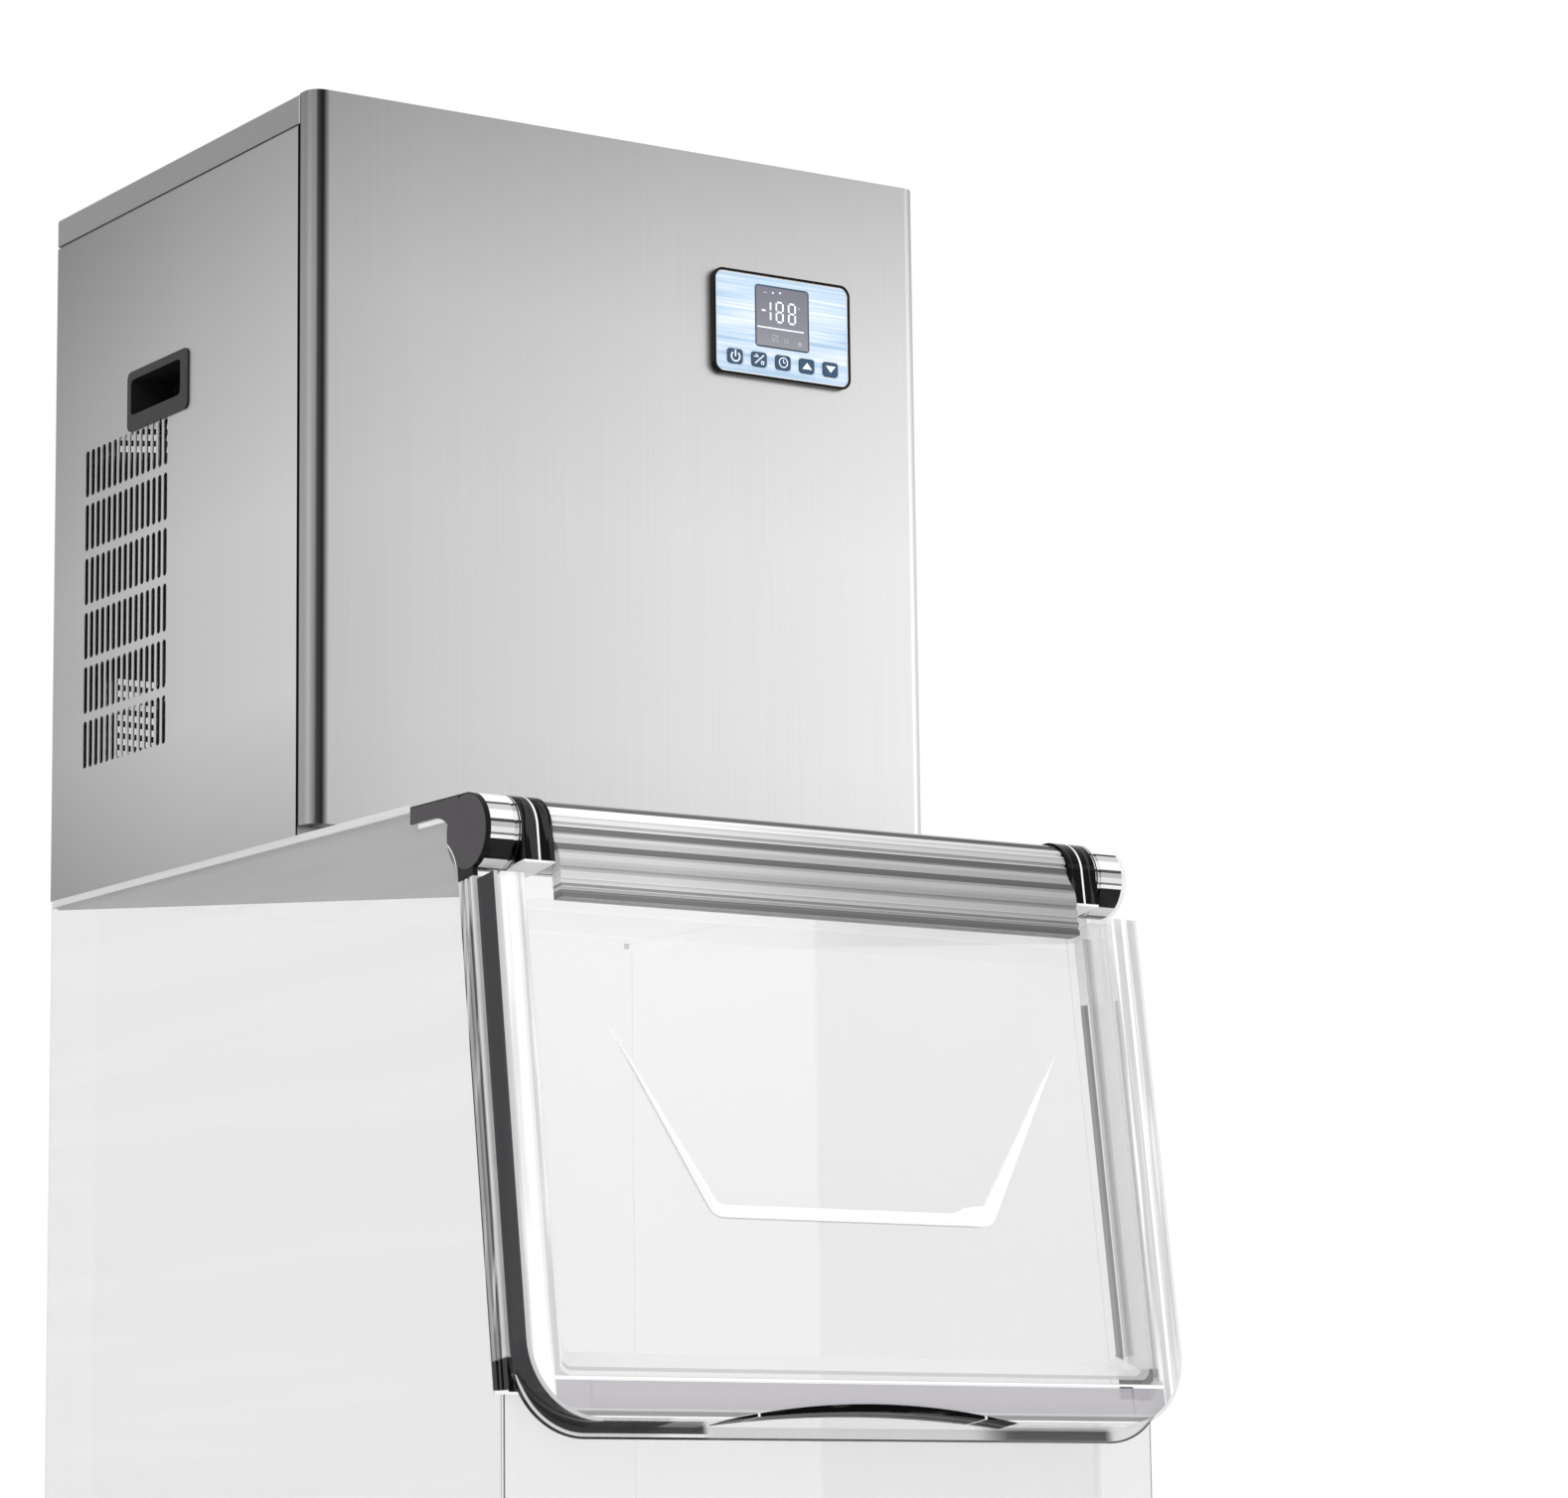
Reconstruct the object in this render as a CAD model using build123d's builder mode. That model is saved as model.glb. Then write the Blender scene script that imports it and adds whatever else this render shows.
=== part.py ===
# A stainless steel ice machine head that stands on a see-through storage bin with a
# top-hinged, sloping door. X runs to the right, Y to the back and Z up from the floor,
# with the origin under the middle of the machine. Sizes are millimetres.
from build123d import *
import math
import os

os.makedirs("parts", exist_ok=True)

# Overall sizes
machine_width = 560.0
head_depth = 443.0
head_height = 571.0
bin_height = 880.0
leg_height = 130.0
port_reach = 14.0

# General clearances
seam = 0.3
running_gap = 0.05
plate_joint = 0.2

# Door slope and hinge
door_slope = 7.4
hinge_setback = 230.0
hinge_drop = 29.5
door_front = 33.7
door_thickness = 26.0
door_skin = 2.0
rail_top = 37.0
tray_bottom = 420.0
skin_bottom = 428.5
door_corner = 55.0
edge_band_wall = 2.5
nose_radius = 27.5
hinge_air = 1.0

# Levels and planes that everything else hangs on
half_width = machine_width / 2
sine = math.sin(math.radians(door_slope))
cosine = math.cos(math.radians(door_slope))
door_reach = hinge_setback + door_front * cosine + tray_bottom * sine
rear_y = (head_depth + door_reach - port_reach) / 2
head_front = rear_y - head_depth
bin_floor = leg_height
bin_top = leg_height + bin_height
head_top = bin_top + head_height
hinge_y = head_front - hinge_setback
hinge_z = bin_top - hinge_drop
door_back = door_front - door_thickness
tray_back = door_back + door_skin

# The door's own plane: local x runs right, y runs up the slope and z out of the door,
# from the hinge axis
door_plane = Plane(origin=(0, hinge_y, hinge_z), x_dir=(1, 0, 0), z_dir=(0, -cosine, sine))


def hinge_section(x):
    """Plane across the hinge at x: local x points out of the door and y down its slope."""
    return Plane(origin=(x, hinge_y, hinge_z), x_dir=(0, -cosine, sine), z_dir=(1, 0, 0))


def on_slope(down, out):
    """The (y, z) of the point this far down the door's slope and out from the hinge axis."""
    return (hinge_y - out * cosine - down * sine, hinge_z + out * sine - down * cosine)


def slope_at_height(z, out):
    """How far down the slope the line at this distance out reaches the height z."""
    return (hinge_z + out * sine - z) / cosine


def block(x0, x1, y0, y1, z0, z1, mode=Mode.ADD):
    """Adds or cuts a box, given by its two corners, in the part being built."""
    with Locations(((x0 + x1) / 2, (y0 + y1) / 2, (z0 + z1) / 2)):
        Box(x1 - x0, y1 - y0, z1 - z0, mode=mode)


def rod(radius, start, end, mode=Mode.ADD):
    """Adds or cuts a round bar between two points in the part being built."""
    line = Vector(*end) - Vector(*start)
    with Locations(Plane(origin=start, z_dir=line)):
        Cylinder(radius, line.length, align=(Align.CENTER, Align.CENTER, Align.MIN), mode=mode)


def hinge_relief(radius):
    """Cuts a round clearance along the whole hinge axis from the part being built."""
    rod(
        radius,
        (-half_width - 1, hinge_y, hinge_z),
        (half_width + 1, hinge_y, hinge_z),
        mode=Mode.SUBTRACT,
    )


def corner(sketch, y, z):
    """The corner of a sketch nearest to a point."""
    return sketch.vertices().sort_by_distance((y, z, 0))[0]


def both_sides(x0, x1):
    """The x ranges of a pair of like features, left then right."""
    return ((-x1, -x0), (x0, x1))


# Bin shell: clear outer walls, open at the top and along the sloping mouth. Its floor,
# sides, front and back are plates that meet at hairline joints
bin_wall = 3.0
bead_radius = 2.8
hood_setback = 150.0
jamb_top = 15.0
jamb_out = -16.0
jamb_radius = 32.0
lower_front_setback = 275.0
sill_drop = 423.0
shell_corner = 5.0

hood_y = head_front - hood_setback
jamb_z = bin_top - jamb_top
sill_z = bin_top - sill_drop
lower_front = head_front - lower_front_setback
jamb_corner = on_slope(slope_at_height(jamb_z, jamb_out), jamb_out)
jamb_foot = on_slope(slope_at_height(sill_z, jamb_out), jamb_out)
leg_inset = 48.0
leg_centres = [
    (sx * (half_width - leg_inset), y)
    for y in (lower_front + leg_inset, rear_y - leg_inset)
    for sx in (-1, 1)
]
drain_radius = 12.0
drain_wall = 2.0
drain_setback = 90.0
drain_y = rear_y - drain_setback

with BuildPart() as bin_shell:
    with BuildSketch(Plane.YZ) as shell_side:
        Polygon(
            (rear_y, bin_floor),
            (rear_y, bin_top),
            (hood_y, bin_top),
            (hood_y, jamb_z),
            jamb_corner,
            jamb_foot,
            (lower_front, sill_z),
            (lower_front, bin_floor),
            align=None,
        )
        fillet(corner(shell_side, *jamb_corner), jamb_radius)
    extrude(amount=half_width, both=True)
    fillet(
        bin_shell.edges().filter_by(Axis.Z).filter_by(lambda e: e.length > sill_drop),
        shell_corner,
    )
    with BuildSketch(Plane.YZ):
        Polygon(
            (rear_y - bin_wall, bin_floor + bin_wall),
            (rear_y - bin_wall, bin_top + bin_wall),
            (lower_front - door_front, bin_top + bin_wall),
            (lower_front - door_front, sill_z),
            (lower_front + bin_wall, sill_z),
            (lower_front + bin_wall, bin_floor + bin_wall),
            align=None,
        )
    extrude(amount=half_width - bin_wall, both=True, mode=Mode.SUBTRACT)
    for x0, x1 in both_sides(half_width - bin_wall, half_width - bin_wall + plate_joint):
        block(x0, x1, lower_front, rear_y, bin_floor, bin_top, mode=Mode.SUBTRACT)
    block(
        -half_width + bin_wall,
        half_width - bin_wall,
        lower_front,
        rear_y,
        bin_floor + bin_wall,
        bin_floor + bin_wall + plate_joint,
        mode=Mode.SUBTRACT,
    )
    for side in (-1, 1):
        bead_x = side * (half_width - bead_radius)
        rod(
            bead_radius,
            (bead_x, hood_y, bin_top - bead_radius),
            (bead_x, rear_y - shell_corner, bin_top - bead_radius),
        )
    hinge_relief(nose_radius + seam)
    rod(
        drain_radius + seam,
        (0, drain_y, bin_floor - bin_wall),
        (0, drain_y, bin_floor + 2 * bin_wall),
        mode=Mode.SUBTRACT,
    )
bin_shell.part.label = "bin_shell"
export_step(bin_shell.part, "parts/bin_shell.step")

# Bin liner: the tub that holds the ice, of plates like the shell's, with a sill and two
# flanges that close the mouth's edge
liner_wall = 2.5
liner_gap = 25.0
deck_sheet = 1.5
sill_lip_out = 4.0

liner_half = half_width - bin_wall - liner_gap
liner_clear = liner_half - liner_wall - plate_joint
liner_rear = rear_y - bin_wall - liner_gap
liner_floor = bin_floor + bin_wall + liner_gap
liner_front = lower_front + bin_wall + liner_gap
liner_top = bin_top - deck_sheet
flange_out = jamb_out - liner_wall
flange_top = slope_at_height(jamb_z, jamb_out) + jamb_radius
flange_foot = slope_at_height(sill_z + 2 * liner_wall, jamb_out)
sill_lip_y = on_slope(slope_at_height(sill_z, sill_lip_out), sill_lip_out)[0]

with BuildPart() as bin_liner:
    for x0, x1 in both_sides(liner_half - liner_wall, liner_half):
        with BuildSketch(Plane.YZ.offset(x0)) as liner_side:
            Polygon(
                (liner_rear, liner_floor),
                (liner_rear, liner_top),
                (hood_y, liner_top),
                (hood_y, jamb_z),
                jamb_corner,
                jamb_foot,
                (liner_front, sill_z),
                (liner_front, liner_floor),
                align=None,
            )
            fillet(corner(liner_side, *jamb_corner), jamb_radius)
        extrude(amount=x1 - x0)
    block(
        -liner_half,
        liner_half,
        lower_front,
        liner_front + liner_wall + plate_joint,
        sill_z - liner_wall - plate_joint,
        sill_z + liner_wall + plate_joint,
        mode=Mode.SUBTRACT,
    )
    block(
        -liner_clear,
        liner_clear,
        liner_rear - liner_wall,
        liner_rear,
        liner_floor + liner_wall + plate_joint,
        liner_top,
    )
    block(
        -liner_clear,
        liner_clear,
        liner_front,
        liner_front + liner_wall,
        liner_floor + liner_wall + plate_joint,
        sill_z - liner_wall - plate_joint,
    )
    block(
        -liner_clear, liner_clear, liner_front, liner_rear, liner_floor, liner_floor + liner_wall
    )
    block(
        -half_width + bin_wall,
        half_width - bin_wall,
        lower_front + bin_wall,
        liner_front + liner_wall,
        sill_z - liner_wall,
        sill_z,
    )
    block(
        -half_width + bin_wall,
        half_width - bin_wall,
        sill_lip_y,
        liner_front + liner_wall,
        sill_z,
        sill_z + liner_wall,
    )
    for x0, x1 in both_sides(liner_half + plate_joint, half_width - bin_wall):
        with BuildSketch(Plane.YZ.offset(x0)):
            Polygon(
                on_slope(flange_top, jamb_out),
                on_slope(flange_foot, jamb_out),
                on_slope(flange_foot, flange_out),
                on_slope(flange_top, flange_out),
                align=None,
            )
        extrude(amount=x1 - x0)
    hinge_relief(nose_radius + hinge_air)
    rod(
        drain_radius + seam,
        (0, drain_y, liner_floor - liner_wall),
        (0, drain_y, liner_floor + 2 * liner_wall),
        mode=Mode.SUBTRACT,
    )
bin_liner.part.label = "bin_liner"
export_step(bin_liner.part, "parts/bin_liner.step")

# Steel deck under the head, of four sheets that meet round the opening that the ice drops
# through, and tapered side flanges inside the bin's walls
drop_margin = 95.0
drop_start = 36.0
drop_depth = 76.0
deck_front_setback = 186.0
deck_lip = 12.0
flange_rear_depth = 7.0
flange_front_depth = 74.0

drop_half = half_width - drop_margin
drop_front = head_front + drop_start
drop_rear = drop_front + drop_depth
deck_half = half_width - 2 * bead_radius - seam
deck_underside = liner_top - plate_joint
deck_front = head_front - deck_front_setback
deck_rear = rear_y - bin_wall - seam
flange_toe = on_slope(slope_at_height(bin_top - flange_front_depth, flange_out), flange_out - seam)

with BuildPart() as bin_deck:
    block(-deck_half, deck_half, deck_front, deck_rear, liner_top, bin_top)
    block(
        -drop_half, drop_half, drop_front, drop_rear, liner_top, bin_top, mode=Mode.SUBTRACT
    )
    for y in (drop_front - plate_joint, drop_rear):
        block(-deck_half, deck_half, y, y + plate_joint, liner_top, bin_top, mode=Mode.SUBTRACT)
    block(
        -liner_half + liner_wall + seam,
        liner_half - liner_wall - seam,
        deck_front,
        deck_front + deck_sheet,
        bin_top - deck_lip,
        deck_underside,
    )
    for x0, x1 in both_sides(deck_half - deck_sheet, deck_half):
        with BuildSketch(Plane.YZ.offset(x0)) as taper:
            Polygon(
                (deck_rear, deck_underside),
                (hood_y, deck_underside),
                (hood_y, jamb_z - liner_wall),
                (jamb_corner[0] + jamb_radius / 2, jamb_z - liner_wall),
                on_slope(flange_top, flange_out - seam),
                flange_toe,
                (deck_rear, bin_top - flange_rear_depth),
                align=None,
            )
        extrude(amount=x1 - x0)
    hinge_relief(nose_radius + hinge_air)
bin_deck.part.label = "bin_deck"
export_step(bin_deck.part, "parts/bin_deck.step")

# Hinge gussets: dark side plates that sweep from the hood round into the jamb and end
# in a round nose on the hinge axis
gusset_plate = 4.0
trim_top = 33.3
trim_front = 5.0

for side, hand in ((-1, "left"), (1, "right")):
    plate_x = half_width - gusset_plate if side > 0 else -half_width
    with BuildPart() as gusset:
        with BuildSketch(Plane.YZ.offset(plate_x)) as gusset_face:
            Polygon(
                (hood_y - seam, hinge_z + nose_radius),
                (hinge_y, hinge_z + nose_radius),
                on_slope(trim_top - seam, trim_front),
                on_slope(trim_top - seam, jamb_out + seam),
                (jamb_corner[0] - seam, jamb_corner[1] + seam),
                (hood_y - seam, jamb_z + seam),
                align=None,
            )
            fillet(
                corner(gusset_face, jamb_corner[0] - seam, jamb_corner[1] + seam),
                jamb_radius,
            )
            with Locations((hinge_y, hinge_z)):
                Circle(nose_radius)
        extrude(amount=gusset_plate)
    gusset.part.label = f"{hand}_hinge_gusset"
    export_step(gusset.part, f"parts/{hand}_hinge_gusset.step")

# Side trims: clear jamb strips between the bin's wall and the door
trim_width = 22.0
trim_foot = 396.0
trim_groove = 1.2
trim_groove_width = 3.0

trim_back = jamb_out + seam
trim_middle = (trim_front + trim_back) / 2
for side, hand in ((-1, "left"), (1, "right")):
    inner_x, outer_x = side * (half_width - trim_width), side * half_width
    with BuildPart() as trim:
        with BuildSketch(door_plane.offset(trim_back)):
            with Locations(((inner_x + outer_x) / 2, -(trim_top + trim_foot) / 2)):
                Rectangle(trim_width, trim_foot - trim_top)
        extrude(amount=trim_front - trim_back)
        for out in (trim_middle - trim_groove_width, trim_middle + trim_groove_width):
            with BuildSketch(door_plane.offset(out - trim_groove_width / 2)):
                with Locations((outer_x, -(trim_top + trim_foot) / 2)):
                    Rectangle(2 * trim_groove, trim_foot - trim_top)
            extrude(amount=trim_groove_width, mode=Mode.SUBTRACT)
        block(
            -half_width,
            half_width,
            sill_lip_y - seam,
            rear_y,
            sill_z - jamb_top,
            sill_z + liner_wall + seam,
            mode=Mode.SUBTRACT,
        )
    trim.part.label = f"{hand}_side_trim"
    export_step(trim.part, f"parts/{hand}_side_trim.step")

# Hinge caps: round bosses on the gussets, each with a spigot that carries the door
cap_length = 24.5
cap_groove = 1.2
cap_groove_width = 2.5
cap_groove_setback = 4.0
spigot_radius = 6.0
spigot_length = 18.0

cap_outer = half_width - gusset_plate
cap_inner = cap_outer - cap_length
with BuildPart() as hinge_caps:
    for side in (-1, 1):
        centre = (hinge_y, hinge_z)
        rod(nose_radius, (side * cap_inner, *centre), (side * cap_outer, *centre))
        groove_x = cap_inner + cap_groove_setback
        with Locations(hinge_section(side * groove_x)):
            Cylinder(nose_radius + cap_groove, cap_groove_width, mode=Mode.SUBTRACT)
            Cylinder(nose_radius - cap_groove, cap_groove_width)
        rod(
            spigot_radius,
            (side * (cap_inner - spigot_length), *centre),
            (side * cap_inner, *centre),
        )
hinge_caps.part.label = "hinge_caps"
export_step(hinge_caps.part, "parts/hinge_caps.step")

# Hinge blocks: black D-shaped blocks that turn on the spigots and carry the hinge bar
block_gap = 0.4
block_width = 25.0
block_foot = 27.0
block_back = -12.0
bar_radius = 25.5
bar_bore = 21.5
boss_length = 12.0

block_outer = cap_inner - block_gap
block_inner = block_outer - block_width
bar_half = block_inner - seam
for side, hand in ((-1, "left"), (1, "right")):
    with BuildPart() as hinge_block:
        with BuildSketch(hinge_section(block_inner if side > 0 else -block_outer)):
            Circle(nose_radius)
            with Locations(((block_back + nose_radius) / 2, block_foot / 2)):
                Rectangle(nose_radius - block_back, block_foot)
        extrude(amount=block_width)
        rod(
            bar_bore - seam,
            (side * (block_inner - boss_length), hinge_y, hinge_z),
            (side * block_inner, hinge_y, hinge_z),
        )
        rod(
            spigot_radius + running_gap,
            (side * (cap_inner - spigot_length - block_gap), hinge_y, hinge_z),
            (side * cap_inner, hinge_y, hinge_z),
            mode=Mode.SUBTRACT,
        )
    hinge_block.part.label = f"{hand}_hinge_block"
    export_step(hinge_block.part, f"parts/{hand}_hinge_block.step")

# Hinge bar: the ribbed extrusion along the top of the door
bar_foot = 52.0
skirt_back = 22.0
skirt_bulge = 24.0
rib_radius = 1.6
rib_places = (
    (door_front, 31.0),
    (door_front, 40.0),
    (door_front, 46.5),
)
bar_rib_angles = (8.0, 30.0, 52.0)

with BuildPart() as hinge_bar:
    with BuildSketch(hinge_section(-bar_half)):
        Circle(bar_radius)
        with BuildLine():
            Polyline(
                (bar_radius, 0),
                (bar_radius * 0.5, 0),
                (skirt_back, skirt_bulge),
                (skirt_back, bar_foot),
                (door_front, bar_foot),
                (door_front, skirt_bulge),
            )
            Spline(
                (bar_radius, 0),
                (door_front, skirt_bulge),
                tangents=[(0, 1), (0, 1)],
            )
        make_face()
        Circle(bar_bore, mode=Mode.SUBTRACT)
        with Locations(*rib_places):
            Circle(rib_radius, mode=Mode.SUBTRACT)
        with Locations(
            *[
                (
                    bar_radius * math.cos(math.radians(angle)),
                    -bar_radius * math.sin(math.radians(angle)),
                )
                for angle in bar_rib_angles
            ]
        ):
            Circle(rib_radius, mode=Mode.SUBTRACT)
    extrude(amount=2 * bar_half)
hinge_bar.part.label = "hinge_bar"
export_step(hinge_bar.part, "parts/hinge_bar.step")

# Door frame: a clear tray-shaped rim with slanted inner walls, seats under the hinge
# blocks and an arched finger notch along its foot
rail_width = 24.5
mouth_top = 54.0
mouth_foot = 389.0
mouth_corner = 8.0
back_mouth_half = 238.0
back_mouth_foot = 368.7
rail_corner = 4.0
notch_half = 133.0
notch_top = 405.8

pane_thickness = 3.0
pane_setback = 1.5
band_corner_ease = 0.7
sill_panel_half = 232.0
sill_panel_top = 391.0
sill_panel_foot = 411.0
sill_panel_depth = 1.0

frame_half = half_width - edge_band_wall
frame_bottom = tray_bottom - edge_band_wall
mouth_half = half_width - rail_width
pane_front = door_front - pane_setback
pane_back = pane_front - pane_thickness
notch_rise = tray_bottom - notch_top
notch_radius = (notch_half**2 + notch_rise**2) / (2 * notch_rise)


def on_door(x0, x1, u0, u1):
    """Adds a rectangle on the door's plane, from u0 to u1 down the slope."""
    with Locations(((x0 + x1) / 2, -(u0 + u1) / 2)):
        return Rectangle(x1 - x0, u1 - u0)


def arch_disc(top, radius, mode=Mode.SUBTRACT):
    """Cuts or adds the disc whose top edge makes the finger arch along the door's foot."""
    with Locations((0, -top - radius)):
        Circle(radius, mode=mode)


with BuildPart() as door_frame:
    with BuildSketch(door_plane.offset(tray_back)) as frame_face:
        with Locations((0, -(rail_top + frame_bottom) / 2)):
            Rectangle(2 * frame_half, frame_bottom - rail_top)
        fillet(
            frame_face.vertices().group_by(Axis.Y)[0],
            door_corner - edge_band_wall + band_corner_ease,
        )
        fillet(frame_face.vertices().group_by(Axis.Y)[-1], rail_corner)
    extrude(amount=door_front - tray_back)
    for x0, x1 in both_sides(bar_half + seam, block_outer):
        with BuildSketch(door_plane.offset(tray_back)):
            on_door(x0, x1, block_foot + seam, rail_top + rail_corner)
        extrude(amount=door_front - tray_back)
    with BuildSketch(door_plane.offset(door_front)) as front_mouth:
        with Locations((0, -(mouth_top + mouth_foot) / 2)):
            Rectangle(2 * mouth_half, mouth_foot - mouth_top)
        fillet(front_mouth.vertices(), mouth_corner)
    with BuildSketch(door_plane.offset(tray_back)) as back_mouth:
        with Locations((0, -(mouth_top + back_mouth_foot) / 2)):
            Rectangle(2 * back_mouth_half, back_mouth_foot - mouth_top)
        fillet(back_mouth.vertices(), mouth_corner)
    loft(mode=Mode.SUBTRACT)
    with BuildSketch(door_plane.offset(pane_back - seam)) as pane_seat:
        with Locations((0, -(mouth_top + mouth_foot) / 2)):
            Rectangle(2 * mouth_half, mouth_foot - mouth_top)
        fillet(pane_seat.vertices(), mouth_corner)
    extrude(amount=door_front, mode=Mode.SUBTRACT)
    with BuildSketch(door_plane.offset(skirt_back - seam)):
        on_door(-bar_half - seam, bar_half + seam, 0, bar_foot + seam)
    extrude(amount=door_front, mode=Mode.SUBTRACT)
    with BuildSketch(door_plane.offset(door_front - sill_panel_depth)):
        on_door(-sill_panel_half, sill_panel_half, sill_panel_top, sill_panel_foot)
    extrude(amount=door_front, mode=Mode.SUBTRACT)
    with BuildSketch(door_plane.offset(door_back)):
        arch_disc(notch_top, notch_radius, mode=Mode.ADD)
    extrude(amount=door_front, mode=Mode.SUBTRACT)
door_frame.part.label = "door_frame"
export_step(door_frame.part, "parts/door_frame.step")

# Door edge band: dark strip round the tray's sides and foot, broken by the finger arch
with BuildPart() as door_edge_band:
    with BuildSketch(door_plane.offset(tray_back)) as band_outer:
        with Locations((0, -(rail_top + tray_bottom) / 2)):
            Rectangle(machine_width, tray_bottom - rail_top)
        fillet(band_outer.vertices().group_by(Axis.Y)[0], door_corner)
    extrude(amount=door_front - tray_back)
    with BuildSketch(door_plane.offset(tray_back)) as band_inner:
        with Locations((0, -frame_bottom / 2)):
            Rectangle(2 * frame_half, frame_bottom)
        fillet(band_inner.vertices().group_by(Axis.Y)[0], door_corner - edge_band_wall)
        arch_disc(notch_top, notch_radius, mode=Mode.ADD)
    extrude(amount=door_front, mode=Mode.SUBTRACT)
door_edge_band.part.label = "door_edge_band"
export_step(door_edge_band.part, "parts/door_edge_band.step")

# Door liner: the flat clear skin behind the tray, longer than the tray at its foot
with BuildPart() as door_liner:
    with BuildSketch(door_plane.offset(door_back)) as liner_face:
        with Locations((0, -(rail_top + skin_bottom) / 2)):
            Rectangle(machine_width, skin_bottom - rail_top)
        fillet(liner_face.vertices().group_by(Axis.Y)[0], door_corner)
        fillet(liner_face.vertices().group_by(Axis.Y)[-1], rail_corner)
    extrude(amount=door_skin)
door_liner.part.label = "door_liner"
export_step(door_liner.part, "parts/door_liner.step")

# Door gasket: soft ring behind the liner that meets the trims and the sill
gasket_depth = 2.4
gasket_inset = 4.0
gasket_width = 14.0
gasket_top = 56.0
gasket_foot = 402.0
gasket_corner = 10.0

gasket_half = half_width - gasket_inset
with BuildPart() as door_gasket:
    with BuildSketch(door_plane.offset(door_back - gasket_depth)) as gasket_face:
        with Locations((0, -(gasket_top + gasket_foot) / 2)):
            Rectangle(2 * gasket_half, gasket_foot - gasket_top)
        fillet(gasket_face.vertices(), gasket_corner)
        with Locations((0, -(gasket_top + gasket_foot) / 2)):
            Rectangle(
                2 * (gasket_half - gasket_width),
                gasket_foot - gasket_top - 2 * gasket_width,
                mode=Mode.SUBTRACT,
            )
    extrude(amount=gasket_depth)
door_gasket.part.label = "door_gasket"
export_step(door_gasket.part, "parts/door_gasket.step")

# Door grip: black crescent that lines the finger arch
grip_thickness = 5.8
grip_half = 124.0

grip_rise = notch_rise - grip_thickness
grip_radius = (notch_half**2 + grip_rise**2) / (2 * grip_rise)
with BuildPart() as door_grip:
    with BuildSketch(door_plane.offset(tray_back)):
        arch_disc(notch_top + seam, notch_radius, mode=Mode.ADD)
        arch_disc(notch_top + grip_thickness, grip_radius)
        with Locations((0, -notch_top - notch_rise / 2)):
            Rectangle(2 * grip_half, 2 * notch_rise, mode=Mode.INTERSECT)
    extrude(amount=door_front - tray_back)
door_grip.part.label = "door_grip"
export_step(door_grip.part, "parts/door_grip.step")

# Door window: clear pane with a hand pocket that deepens towards its foot
pocket_top = 140.0
pocket_foot = 275.8
pocket_top_half = 195.5
pocket_foot_half = 120.0
pocket_depth = 17.5
pocket_side_draft = 15.0
pocket_foot_draft = 12.8
pocket_corner = 18.0
pocket_wall = 2.4


def pocket_form(margin):
    """The wedge-shaped pocket, grown by this margin on its sides, floor and foot."""
    floor = pane_front - pocket_depth - margin
    start = pane_front - margin
    with BuildPart() as form:
        with BuildSketch(hinge_section(-half_width)):
            Polygon(
                (pane_front, pocket_top - margin),
                (start, pocket_top - margin),
                (floor, pocket_foot - pocket_foot_draft + margin),
                (pane_front, pocket_foot + margin),
                align=None,
            )
        extrude(amount=machine_width)
        for side in (-1, 1):
            top_point = door_plane.from_local_coords(
                Vector(side * (pocket_top_half + margin), -pocket_top, pane_front)
            )
            foot_point = door_plane.from_local_coords(
                Vector(side * (pocket_foot_half + margin), -pocket_foot, pane_front)
            )
            floor_point = door_plane.from_local_coords(
                Vector(
                    side * (pocket_foot_half - pocket_side_draft + margin),
                    -pocket_foot + pocket_foot_draft,
                    pane_front - pocket_depth,
                )
            )
            outward = (foot_point - top_point).cross(floor_point - top_point)
            outward = outward if outward.X * side > 0 else outward * -1
            split(bisect_by=Plane(origin=top_point, z_dir=outward), keep=Keep.BOTTOM)
        facet_edges = form.edges().filter_by(
            lambda e: pocket_depth * 0.9 < e.length < pocket_depth * 2
            and abs(e.center().X) > pocket_foot_half / 2
        )
        fillet(facet_edges, pocket_corner)
    return form.part


with BuildPart() as door_window:
    with BuildSketch(door_plane.offset(pane_back)) as pane_face:
        with Locations((0, -(mouth_top + mouth_foot) / 2)):
            Rectangle(2 * (mouth_half - seam), mouth_foot - mouth_top - 2 * seam)
        fillet(pane_face.vertices(), mouth_corner - seam)
    extrude(amount=pane_thickness)
    add(pocket_form(pocket_wall))
    add(pocket_form(0), mode=Mode.SUBTRACT)
door_window.part.label = "door_window"
export_step(door_window.part, "parts/door_window.step")

# Legs and levelling feet
leg_radius = 20.0
leg_foot = 35.0
leg_top_radius = 24.0
leg_collar = 12.0
stud_radius = 7.9
foot_radius = 19.0
foot_height = 10.0
stud_engagement = 40.0
stud_air = 20.0

with BuildPart() as bin_legs:
    for x, y in leg_centres:
        rod(leg_radius, (x, y, leg_foot), (x, y, leg_height))
        rod(leg_top_radius, (x, y, leg_height - leg_collar), (x, y, leg_height))
        rod(
            stud_radius + running_gap,
            (x, y, leg_foot),
            (x, y, leg_foot + stud_engagement + stud_air),
            mode=Mode.SUBTRACT,
        )
bin_legs.part.label = "bin_legs"
export_step(bin_legs.part, "parts/bin_legs.step")

for (x, y), place in zip(leg_centres, ("front_left", "front_right", "rear_left", "rear_right")):
    with BuildPart() as foot:
        rod(foot_radius, (x, y, 0), (x, y, foot_height))
        rod(stud_radius, (x, y, foot_height), (x, y, leg_foot + stud_engagement))
        chamfer(foot.edges().group_by(Axis.Z)[0], 1.5)
    foot.part.label = f"foot_{place}"
    export_step(foot.part, f"parts/foot_{place}.step")

# Bin drain: pipe through the liner's floor and the shell's floor
drain_reach = 30.0
drain_flange = 18.0

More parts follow.
